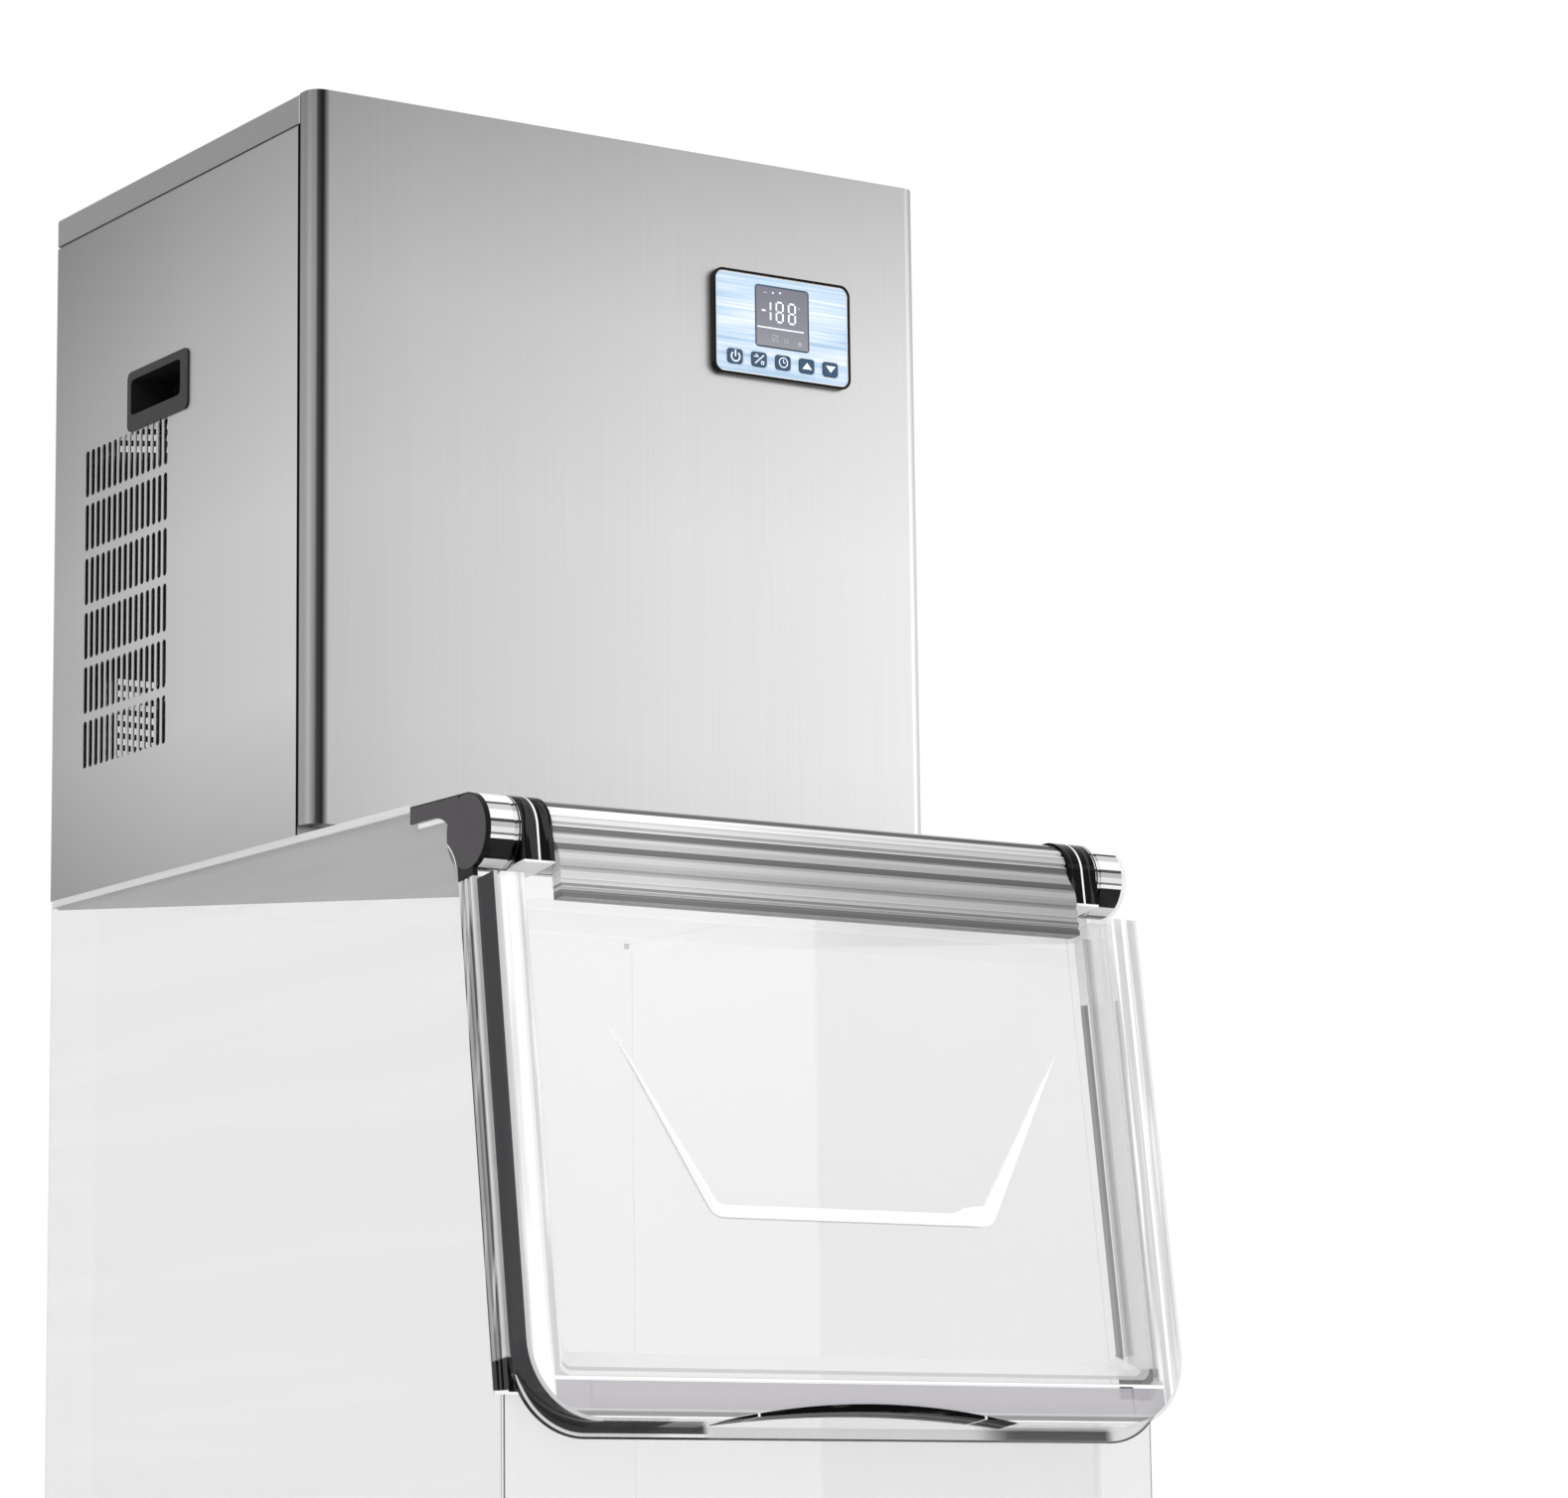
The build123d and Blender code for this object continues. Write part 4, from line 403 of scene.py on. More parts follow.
def shell_finish():
    """Clear outer walls of the bin, with level streaks and dark corner lines of painted shade."""
    mat = Finish("clear_shell")
    across = mat.along(HEAD, RIGHT)
    ahead = mat.along(HEAD, -BACK)
    up = mat.along(HEAD, UP)
    side = mat.size_of(across)
    left = mat.past(-278.5, across)
    right = mat.past(across, 278.5)
    front = mat.past(ahead, SHELL_FRONT - 0.8)
    inner = mat.past(ahead, -441.5)
    sides = mat.either(left, right)
    streak = mat.past(mat.noise((1.5, 1.5, 45), detail=2.0), 0.56, 0.05)
    bead = mat.both(mat.past(up, -5.7), mat.past(side, 270))
    low = mat.past(-400, up, 8)
    # Painted shade: dark lines at the clear walls' corners and edges
    corner = mat.either(
        mat.both(front, mat.past(side, 276.6)),
        mat.both(sides, mat.past(ahead, SHELL_FRONT - 1.8), low),
        mat.both(left, mat.past(-441.2, ahead)),
    )
    tone = mat.blend(mat.both(sides, streak), grey(189), grey(197))
    tone = mat.blend(bead, tone, grey(225))
    tone = mat.blend(corner, tone, grey(12))
    alpha = mat.shift(left, 0.015, 0.36)
    alpha = mat.shift(right, alpha, 0.05)
    alpha = mat.shift(front, alpha, 0.25)
    alpha = mat.shift(inner, 0.06, alpha)
    alpha = mat.shift(bead, alpha, 0.7)
    return see_through(mat, tone, mat.shift(corner, alpha, 0.95))


def liner_finish():
    """Clear tub, with painted shade on the front part of its right wall, which is less clear there.
    """
    mat = Finish("clear_liner")
    across = mat.along(HEAD, RIGHT)
    ahead = mat.along(HEAD, -BACK)
    # Painted shade: the front of the right wall is made less clear, so darker
    painted_shade_patch = mat.both(mat.past(across, 246), mat.past(ahead, -119.0))
    return see_through(mat, grey(212), mat.shift(painted_shade_patch, 0.012, 0.10))


def deck_finish():
    """Grey side flanges and a white ceiling over the ice, which glows faintly as painted light."""
    mat = Finish("deck_ceiling_painted_glow")
    across = mat.along(HEAD, RIGHT)
    flange = mat.past(mat.size_of(across), DECK_HALF - 0.4)
    grain = mat.noise((600, 5, 600))
    tone = mat.blend(flange, grey(255), grey(166))
    tone = mat.blend(mat.past(grain, 0.6, 0.2), tone, mat.times(tone, grey(250)))
    # Painted light: the white ceiling glows faintly, though it is no lamp
    shader = mat.principled(
        Base_Color=tone,
        Roughness=0.4,
        Emission_Color=(1, 1, 1, 1),
        Emission_Strength=mat.shift(flange, 0.12, 0.0),
    )
    return mat.finish(shader)


def rim_finish():
    """Clear tray rim with painted reflections: long bright streaks and bands on its rails, dark
    bands in its right bevel, white sill with bright and dark lines.
    """
    mat = Finish("clear_rim")
    across, out, down = door_axes(mat)
    side = mat.size_of(across)
    edge = mat.maths("SUBTRACT", 280.0, side)
    face = mat.past(out, 33.4, 0.1)
    streak = mat.past(mat.noise((220, 30, 4), detail=2.0), 0.55, 0.12)
    # Painted reflections: bands of tone and alpha across each rail
    left_painted_light, left_alpha = mat.bands(
        edge,
        (
            (0.0, 244, 0.8), (2.0, 216, 0.72), (10.0, 246, 0.72), (16.5, 226, 0.72),
            (19.0, 188, 0.72), (24.3, 238, 0.3),
        ),
    )
    right_painted_light, right_alpha = mat.bands(
        edge,
        (
            (0.0, 192, 0.72), (9.0, 200, 0.8), (11.0, 255, 0.9), (14.0, 196, 0.72),
            (20.0, 182, 0.72), (24.3, 238, 0.3),
        ),
    )
    on_right = mat.past(across, 0.0)
    tone = mat.blend(on_right, left_painted_light, right_painted_light)
    alpha = mat.shift(on_right, left_alpha, right_alpha)
    # Painted reflections: long bright streaks along the rails
    tone = mat.blend(mat.both(streak, mat.past(edge, 2.5)), tone, grey(248))

    # Painted reflections: bright and dark lines along the sill
    sill_painted_reflections, sill_alpha = mat.bands(
        down,
        (
            (386.5, 192, 0.85), (389.4, 252, 0.95), (392.0, 200, 0.85), (411.3, 190, 0.85),
            (413.0, 130, 0.85), (416.4, 244, 0.9), (418.6, 215, 0.5),
        ),
    )
    panel = mat.between(down, 392.0, 411.3, 0.1)
    sill_painted_reflections = mat.blend(panel, sill_painted_reflections, (0.44, 0.422, 0.458))
    sill = mat.both(mat.past(down, 386.5, 0.1), mat.past(edge, 20.0))
    tone = mat.blend(sill, tone, sill_painted_reflections)
    alpha = mat.shift(sill, alpha, sill_alpha)

    # Painted reflections: dark and light bands in the right bevel
    bevel_painted_reflections, bevel_alpha = mat.bands(
        out,
        (
            (7.0, 104, 0.92), (8.9, 130, 0.88), (12.0, 104, 0.88), (14.2, 240, 0.85),
            (16.6, 202, 0.7), (19.5, 226, 0.6), (29.4, 180, 0.75), (31.0, 186, 0.7),
        ),
    )
    sideways = mat.past(mat.facing(-RIGHT), 0.3, 0.1)
    bevel = mat.both(sideways, on_right, mat.past(edge, 22.0))
    # Painted reflections: light bands on the ledge
    ledge_painted_reflections, ledge_alpha = mat.bands(
        out, ((7.0, 180, 0.5), (8.6, 252, 0.8), (24.7, 200, 0.8), (33.0, 250, 0.8))
    )
    ledge = mat.both(mat.past(mat.facing(-DOWN), 0.3, 0.1), mat.past(down, 360.0))
    tone = mat.blend(ledge, mat.blend(bevel, tone, bevel_painted_reflections), ledge_painted_reflections)
    recess = mat.both(panel, mat.past(out, 30.0), mat.past(mat.facing(OUT), 0.9, 0.05))
    alpha = mat.shift(mat.either(face, recess), 0.03, alpha)
    alpha = mat.shift(ledge, mat.shift(bevel, alpha, bevel_alpha), ledge_alpha)
    head = mat.both(mat.past(edge, 24.3), mat.past(100.0, down))
    alpha = mat.shift(head, alpha, 0.02)
    gloss = mat.shift(mat.either(bevel, sill), 0.25, 0.04)
    return see_through(mat, tone, alpha, specular=gloss)


def window_finish():
    """Clear pane whose pocket has a painted highlight, a bright band at its sides and foot,
    widening downwards, and a darker painted column near its right edge.
    """
    mat = Finish("clear_pane")
    across, out, down = door_axes(mat)
    outward = mat.size_of(mat.facing(OUT))
    wall = mat.both(
        mat.between(outward, 0.0, 0.93, 0.01),
        mat.between(down, 136.0, 290.0),
        mat.past(200.0, mat.size_of(across)),
    )
    under = mat.maths("SUBTRACT", down, POCKET_TOP)
    fall = mat.maths("DIVIDE", under, POCKET_FOOT - POCKET_TOP)
    reach = mat.maths(
        "MULTIPLY_ADD", fall, POCKET_FOOT_HALF - POCKET_TOP_HALF, POCKET_TOP_HALF
    )
    inward = mat.maths("SUBTRACT", reach, mat.size_of(across))
    on_left = mat.past(0.0, across)
    foot = mat.past(down, POCKET_FOOT - 17.0)
    width = mat.shift(on_left, POCKET_RIGHT_HIGHLIGHT, POCKET_LEFT_HIGHLIGHT)
    band = mat.both(
        mat.past(inward, 0.0), mat.past(mat.maths("MULTIPLY", fall, width), inward)
    )
    # Painted highlight: a white band along the pocket's sides and foot
    bright = mat.either(
        mat.both(band, on_left, mat.past(POCKET_FOOT - 12.0, down)),
        mat.both(wall, mat.either(band, foot)),
    )
    # Painted shade: a darker column near the pane's right edge
    border = mat.both(mat.between(across, 231.0, 237.0), mat.past(368.0, down))
    limits = {"From Min": 60.0, "From Max": 300.0, "To Min": 0.06, "To Max": 0.13}
    alpha = mat.add("MapRange", {"Value": down, **limits}).outputs["Result"]
    alpha = mat.shift(border, alpha, 0.5)
    tone = mat.blend(border, grey(198), grey(158))
    tone = mat.blend(bright, tone, WHITE)
    return see_through(mat, tone, mat.shift(bright, alpha, 0.9))


def skin_finish():
    """Clear rear skin of the door, with painted shade and highlight: a dark band, a white line and
    a black edge line at its foot.
    """
    mat = Finish("clear_skin")
    across, out, down = door_axes(mat)
    inside = mat.inside(across, down, 280.0, 428.5, 55.0)
    # Painted shade and highlight along the door's edge: dark bands and a white line
    left_painted_light, left_alpha = mat.bands(
        inside, ((0.0, 30, 0.9), (1.5, 250, 0.9), (3.9, 66, 0.92), (13.0, 235, 0.02))
    )
    middle_painted_light, middle_alpha = mat.bands(
        inside, ((0.0, 60, 0.7), (1.5, 225, 0.35), (9.0, 235, 0.02))
    )
    right_painted_light, right_alpha = mat.bands(
        inside,
        ((0.0, 110, 0.8), (2.0, 75, 0.8), (8.5, 160, 0.7), (10.5, 246, 0.8), (12.5, 235, 0.02)),
    )
    foot = mat.past(down, 385.0)
    on_left = mat.past(-126.0, across, 4.0)
    on_right = mat.both(mat.past(across, 118.0, 20.0), mat.past(226.0, across, 6.0))
    tone = mat.blend(on_right, mat.blend(on_left, middle_painted_light, left_painted_light), right_painted_light)
    alpha = mat.shift(on_right, mat.shift(on_left, middle_alpha, left_alpha), right_alpha)
    return see_through(
        mat, mat.blend(foot, grey(235), tone), mat.shift(foot, 0.012, alpha)
    )


def trim_finish():
    """Clear jamb strip with painted reflections as dark streaks, painted light on the right-hand
    strip, and a black lower end.
    """
    mat = Finish("clear_trim")
    across, out, down = door_axes(mat)
    # Painted reflections: dark and light streaks across the strip
    tone, alpha = mat.bands(
        out,
        (
            (-17.0, 36, 0.95), (-14.2, 158, 0.85), (-8.5, 140, 0.85), (-4.0, 108, 0.9),
            (-1.5, 160, 0.85), (0.5, 222, 0.85), (2.6, 200, 0.8),
        ),
    )
    streak = mat.past(mat.noise((120, 120, 6), detail=2.0), 0.58, 0.06)
    tone = mat.blend(streak, tone, grey(205))
    end = mat.past(down, 372.0, 1.0)
    tone = mat.blend(end, tone, grey(14))
    # Painted light: the right-hand strip is made lighter
    lit = mat.past(across, 0.0)
    tone = mat.blend(mat.both(lit, mat.past(372.0, down)), tone, grey(225))
    alpha = mat.shift(lit, alpha, 0.35)
    return see_through(mat, tone, mat.shift(end, alpha, 0.95))


def bar_finish():
    """Hinge bar: painted reflections in bands of grey and white that run its whole length, with
    painted shade darker towards its right end.
    """
    mat = Finish("bar_painted_reflections")
    across, out, down = door_axes(mat)
    around = mat.maths(
        "MULTIPLY", mat.maths("ARCTAN2", down, out), math.degrees(1.0)
    )
    # Painted reflections: bands round the tube by angle
    tube_painted_reflections = mat.strips(
        around,
        (
            (-150, 225), (-70, 120), (-48, 95), (-42, 250), (-24, 205), (-19, 222), (-12, 190),
            (-8, 235), (-4, 112), (6, 150), (9, 205), (14, 188), (22, 108),
        ),
    )
    # Painted reflections: bands down the skirt
    skirt_painted_reflections = mat.strips(
        down,
        (
            (14.0, 106), (17.3, 172), (19.5, 200), (24.0, 186), (26.2, 176), (30.7, 184),
            (33.0, 202), (37.4, 212), (41.8, 140), (44.0, 196), (46.3, 130), (48.5, 112),
            (52.0, 160),
        ),
    )
    # Painted shade: darker towards the right end
    ends = mat.ramp(
        across, ((-220, grey(255)), (-140, grey(255)), (0, grey(228)), (215, grey(205)))
    )
    tone = mat.blend(mat.past(down, 15.0, 0.1), tube_painted_reflections, skirt_painted_reflections)
    tone = mat.times(tone, ends)
    shader = mat.principled(Base_Color=tone, Roughness=0.12, Specular_IOR_Level=0.15)
    return mat.finish(shader)


def cap_finish():
    """Hinge cap with painted chrome reflections: white top, dark line, black lower third and white
    foot.
    """
    mat = Finish("cap_painted_reflections")
    across, out, down = door_axes(mat)
    # Painted reflections of a chrome cylinder, in strips down the cap
    tone = mat.strips(
        down,
        (
            (-28.0, 150), (-25.5, 246), (-16.5, 70), (-14.5, 196), (-10.0, 236), (-3.0, 60),
            (-0.5, 176), (3.0, 216), (7.0, 110), (8.5, 236), (11.0, 8), (23.0, 226), (27.0, 60),
        ),
    )
    line = mat.between(mat.size_of(across), 252.0, 253.4, 0.1)
    tone = mat.blend(line, tone, grey(30))
    shader = mat.principled(Base_Color=tone, Roughness=0.1, Specular_IOR_Level=0.2)
    return mat.finish(shader)


def block_finish():
    """Black hinge block with painted sheen patches, one thin bright line of painted highlight along
    its front and a painted highlight at its foot.
    """
    mat = Finish("black_block")
    across, out, down = door_axes(mat)
    side = mat.size_of(across)
    # Painted highlight: a thin bright line along the front
    line = mat.both(mat.between(side, 237.5, 239.2, 0.2), mat.past(out, 5.0))
    # Painted sheen: grey patches on the black
    painted_sheen_patches = mat.noise((160, 20, 20), detail=1.0)
    tone = mat.blend(mat.past(painted_sheen_patches, 0.6, 0.03), grey(4), grey(52))
    tone = mat.blend(line, tone, grey(240))
    # Painted highlight along the block's foot
    hem = mat.past(down, 25.2, 0.2)
    tone = mat.blend(hem, tone, grey(240))
    shader = mat.principled(Base_Color=tone, Roughness=0.08, Specular_IOR_Level=0.08)
    return mat.finish(shader)


def grip_finish():
    """Black gloss crescent with thin bright reflections that follow the arch."""
    mat = Finish("black_grip")
    across, out, down = door_axes(mat)
    far = mat.maths("DIVIDE", across, 124.0)
    bow = mat.maths("MULTIPLY", mat.maths("MULTIPLY", far, far), 5.0)
    depth = mat.maths("ADD", out, bow)
    # Painted reflections along the arch
    bright = mat.either(
        mat.between(depth, 15.0, 15.5, 0.15),
        mat.between(depth, 25.2, 25.8, 0.15),
    )
    # Painted highlight at each tail of the crescent
    painted_tail_highlight = mat.both(
        mat.between(mat.size_of(across), 96.0, 98.0, 0.4), mat.past(out, 9.0)
    )
    dim = mat.noise((25, 25, 160))
    tone = mat.blend(mat.past(dim, 0.6, 0.05), grey(6), grey(44))
    tone = mat.blend(mat.either(bright, painted_tail_highlight), tone, grey(225))
    shader = mat.principled(Base_Color=tone, Roughness=0.3, Specular_IOR_Level=0.02)
    return mat.finish(shader)


def edge_band_finish():
    """Smoked strip round the door, dark on the left, clear along the foot, with painted light on
    its front face, under its left foot and on the right, which is pale.
    """
    mat = Finish("smoked_band")
    across, out, down = door_axes(mat)
    streak = mat.noise((10, 200, 10))
    tone = mat.blend(streak, (0.028, 0.025, 0.028), (0.036, 0.032, 0.036))
    # Painted light: the front face is lighter
    front = mat.past(out, 32.6, 0.2)
    tone = mat.blend(front, tone, grey(196))
    foot = mat.both(mat.past(down, 405.0), mat.past(across, -224.0, 1.0))
    on_left = mat.past(-165.0, across, 4.0)
    # Painted light: faces under the left foot are pale
    under = mat.past(mat.facing(DOWN), 0.8, 0.1)
    foot_painted_light = mat.blend(mat.both(on_left, under), grey(222), grey(62))
    foot_alpha = mat.shift(mat.both(on_left, under), 0.3, 0.9)
    tone = mat.blend(foot, tone, foot_painted_light)
    alpha = mat.shift(foot, 0.94, foot_alpha)
    # Painted light: the right part is pale
    right = mat.both(mat.past(across, 200.0), mat.past(415.0, down))
    tone = mat.blend(right, tone, grey(216))
    return see_through(mat, tone, mat.shift(right, alpha, 0.3), specular=0.1)


def gusset_finish(name, lit):
    """Smoked hinge gusset with a painted highlight, a bright curved line beside its clear inner
    edge; the lit copy is painted pale all over.
    """
    mat = Finish(name)
    across, out, down = door_axes(mat)
    ahead = mat.along(HINGE, -BACK)
    up = mat.along(HINGE, UP)
    streak = mat.noise((20, 30, 60))
    plate = mat.blend(streak, (0.055, 0.05, 0.055), (0.07, 0.063, 0.07))
    reach = mat.length(
        mat.maths("ADD", ahead, GUSSET_ARC[0]), mat.maths("ADD", up, GUSSET_ARC[1])
    )
    inner = mat.past(GUSSET_ARC[2], reach, 0.3)
    # Painted highlight: a bright curved line beside the inner edge
    line = mat.between(reach, GUSSET_ARC[2], GUSSET_ARC[2] + 0.9, 0.15)
    nose = mat.both(mat.past(mat.length(ahead, up), 26.6, 0.2), mat.past(ahead, -12.0))
    outline = mat.either(nose, mat.past(up, 26.6, 0.2))
    tone = mat.blend(outline, plate, grey(18))
    tone = mat.blend(inner, tone, grey(120))
    tone = mat.blend(line, tone, grey(240))
    alpha = mat.shift(inner, 1.0, 0.85)
    # Painted light: the lit copy is pale all over
    if lit:
        tone, alpha = grey(236), 0.2
    return see_through(mat, tone, alpha, specular=0.1)


def face_finish():
    """Light blue control face with level streaks and a white line round its edge."""
    mat = Finish("control_face")
    across = mat.along(HEAD, RIGHT)
    up = mat.along(HEAD, UP)
    fine = mat.noise((10, 10, 420), detail=3.0)
    broad = mat.noise((7, 7, 70), detail=1.0)
    mixed = mat.maths("MULTIPLY_ADD", broad, 0.7, mat.maths("MULTIPLY", fine, 0.6))
    tone = mat.ramp(
        mixed,
        (
            (0.48, (0.36, 0.52, 0.70)),
            (0.60, (0.50, 0.66, 0.84)),
            (0.70, (0.62, 0.74, 0.88)),
            (0.82, (0.80, 0.86, 0.92)),
        ),
    )
    side = mat.size_of(mat.maths("SUBTRACT", across, CONTROL_X))
    height = mat.size_of(mat.maths("SUBTRACT", up, CONTROL_UP))
    rim = mat.either(mat.past(side, 62.3, 0.2), mat.past(height, 39.9, 0.2))
    tone = mat.blend(rim, tone, grey(240))
    return mat.finish(
        mat.principled(Base_Color=tone, Roughness=0.3, Specular_IOR_Level=0.3)
    )


def display_finish():
    """Grey violet display with a darker border."""
    mat = Finish("display_face")
    across = mat.along(HEAD, RIGHT)
    up = mat.along(HEAD, UP)
    side = mat.size_of(mat.maths("SUBTRACT", across, CONTROL_X))
    height = mat.size_of(mat.maths("SUBTRACT", up, DISPLAY_UP))
    rim = mat.either(mat.past(side, 24.6), mat.past(height, 24.2))
    # Painted sheen: lighter at the foot, darker towards the top
    sheen = mat.ramp(
        up, ((420, (0.30, 0.30, 0.33)), (436, (0.25, 0.25, 0.29)), (472, (0.20, 0.20, 0.25)))
    )
    tone = mat.blend(rim, sheen, (0.05, 0.075, 0.10))
    return mat.finish(
        mat.principled(Base_Color=tone, Roughness=0.15, Specular_IOR_Level=0.15)
    )


def glowing(name, colour, strength=1.0):
    """Printed or lit marks, and pale bars that glow as painted light."""
    mat = Finish(name)
    speck = mat.noise((900, 900, 900))
    tone = mat.blend(speck, [c * 0.96 for c in colour], colour)
    shader = mat.principled(
        Base_Color=tone, Roughness=0.4, Emission_Color=(*colour, 1), Emission_Strength=strength
    )
    return mat.finish(shader)


# Settings


class CabinetSettings(bpy.types.PropertyGroup):
    grain: bpy.props.FloatProperty(
        name="Grain",
        description="Brush lines per metre across the steel",
        default=900.0,
        min=100.0,
    )
    rough: bpy.props.FloatProperty(
        name="Roughness",
        description="How softly the steel reflects",
        default=0.36,
        min=0.05,
        max=1.0,
        subtype="FACTOR",
    )


class GrilleSettings(bpy.types.PropertyGroup):
    pitch: bpy.props.FloatProperty(
        name="Pitch",
        description="Height from one bar behind the louvres to the next",
        default=0.0097,
        min=0.006,
        unit="LENGTH",
    )
    height: bpy.props.FloatProperty(
        name="Bar height",
        description="Height of each bar behind the louvres",
        default=0.0048,
        min=0.001,
        unit="LENGTH",
    )
    slant: bpy.props.FloatProperty(
        name="Slant",
        description="How far the bars rise towards the back",
        default=math.radians(11.6),
        subtype="ANGLE",
    )


class DisplaySettings(bpy.types.PropertyGroup):
    digits: bpy.props.StringProperty(
        name="Digits", description="What the display reads", default="-188"
    )
    mark_colour: bpy.props.FloatVectorProperty(
        name="Mark colour",
        description="Colour of the lit numerals and icons",
        default=(0.80, 0.86, 0.95),
        subtype="COLOR",
    )
    faint_colour: bpy.props.FloatVectorProperty(
        name="Faint colour",
        description="Colour of the icons that are not lit",
        default=(0.40, 0.42, 0.48),
        subtype="COLOR",
    )


class StageSettings(bpy.types.PropertyGroup):
    floor_size: bpy.props.FloatProperty(
        name="Floor", description="Width of the floor", default=14.0, unit="LENGTH"
    )
    brightness: bpy.props.FloatProperty(
        name="Brightness", description="Strength of the even studio light", default=1.0
    )


# Mesh helpers


def piece(name, mesh, material, body):
    """Makes an object of a finished mesh, which moves with a body."""
    obj = bpy.data.objects.new(name, mesh)
    bpy.context.scene.collection.objects.link(obj)
    obj.data.materials.clear()
    obj.data.materials.append(material)
    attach(obj, body)
    return obj


def plates(name, outlines, front, thickness):
    """Thin plates standing off the control panel: each outline is (x, z) in millimetres."""
    mesh = bpy.data.meshes.new(name)
    build = bmesh.new()
    for outline in outlines:
        rows = []
        for back in (front, front + thickness):
            y = HEAD.y + back * MILLI
            places = [(x * MILLI, y, HEAD.z + z * MILLI) for x, z in outline]
            rows.append([build.verts.new(place) for place in places])
        build.faces.new(rows[0])
        build.faces.new(list(reversed(rows[1])))
        count = len(outline)
        for i in range(count):
            j = (i + 1) % count
            build.faces.new((rows[0][i], rows[1][i], rows[1][j], rows[0][j]))
    bmesh.ops.recalc_face_normals(build, faces=build.faces)
    build.to_mesh(mesh)
    build.free()
    return mesh


def bar_outline(x, z, width, height):
    """A level rectangle's corners."""
    return [
        (x - width / 2, z - height / 2),
        (x + width / 2, z - height / 2),
        (x + width / 2, z + height / 2),
        (x - width / 2, z + height / 2),
    ]


def arc_outline(x, z, radius, width, start, end, steps=20):
    """A bent bar round a centre, between two angles in degrees."""
    angles = [math.radians(start + (end - start) * i / steps) for i in range(steps + 1)]
    outer, inner = radius + width / 2, radius - width / 2
    return [(x + outer * math.cos(a), z + outer * math.sin(a)) for a in angles] + [
        (x + inner * math.cos(a), z + inner * math.sin(a)) for a in reversed(angles)
    ]


MARK_DEPTH = 0.15
GRILLE_X = -0.272
GRILLE_DEPTH = 0.001
DIGIT_WIDTH = 6.2
DIGIT_HEIGHT = 16.2
DIGIT_GAP = 5.6
DIGIT_START = -20.4
DASH_WIDTH = 5.4
DASH_GAP = 1.2

SEGMENTS = {
    "0": "abcdef",
    "1": "bc",
    "2": "abged",
    "3": "abgcd",
    "4": "fgbc",
    "5": "afgcd",
    "6": "afgedc",
    "7": "abc",
    "8": "abcdefg",
    "9": "abcdfg",
    "-": "g",
}


def digit_outlines(sign, x, z, width, height, stroke):
    """The lit bars of one seven-bar numeral."""
    half_w, half_h = width / 2, height / 2
    gap = stroke * 0.6
    level = {"a": half_h, "g": 0.0, "d": -half_h}
    upright = {
        "b": (half_w, half_h / 2),
        "c": (half_w, -half_h / 2),
        "f": (-half_w, half_h / 2),
        "e": (-half_w, -half_h / 2),
    }
    bars = []
    for part in SEGMENTS[sign]:
        if part in level:
            bars.append(bar_outline(x, z + level[part], width - 2 * gap, stroke))
        else:
            dx, dz = upright[part]
            bars.append(bar_outline(x + dx, z + dz, stroke, half_h - 2 * gap))
    return bars


def ring_outlines(x, z, radius, width, gap=0.0):
    """A ring, open at its top over an angle in degrees."""
    return [
        arc_outline(x, z, radius, width, 90 + gap / 2, 270, 14),
        arc_outline(x, z, radius, width, 270, 450 - gap / 2, 14),
    ]


def wedge_outline(x, z, width, height):
    """A triangle that points up, or down where the height is below zero."""
    return [
        (x - width / 2, z - height / 2),
        (x + width / 2, z - height / 2),
        (x, z + height / 2),
    ]


def slash_outline(x, z, width, height, stroke):
    """A slanted bar that rises to the right."""
    half = stroke / 2
    return [
        (x - width / 2 - half, z - height / 2 + half),
        (x - width / 2 + half, z - height / 2 - half),
        (x + width / 2 + half, z + height / 2 - half),
        (x + width / 2 - half, z + height / 2 + half),
    ]


def frame_outlines(x, z, width, height, stroke):
    """The four bars of an open rectangle."""
    return [
        bar_outline(x, z + height / 2, width + stroke, stroke),
        bar_outline(x, z - height / 2, width + stroke, stroke),
        bar_outline(x - width / 2, z, stroke, height - stroke),
        bar_outline(x + width / 2, z, stroke, height - stroke),
    ]


def button_outlines(kind, x, z):
    """The mark printed on one button."""
    if kind == "power_button":
        return ring_outlines(x, z - 0.4, 3.9, 1.2, 80) + [bar_outline(x, z + 2.2, 1.2, 5.6)]
    if kind == "wash_button":
        return (
            [slash_outline(x, z, 8.6, 7.4, 0.7)]
            + [bar_outline(x - 3.2, z + 2.0, 4.6, 0.8), bar_outline(x - 2.6, z + 3.5, 2.0, 0.8)]
            + frame_outlines(x + 2.9, z - 2.7, 2.2, 2.2, 0.7)
        )
    if kind == "timer_button":
        return ring_outlines(x, z, 3.9, 0.8) + [
            bar_outline(x, z + 1.2, 0.7, 2.6),
            bar_outline(x + 0.9, z - 0.1, 2.0, 0.7),
        ]
    return [wedge_outline(x, z, 9.4, 5.4 if kind == "up_button" else -5.4)]


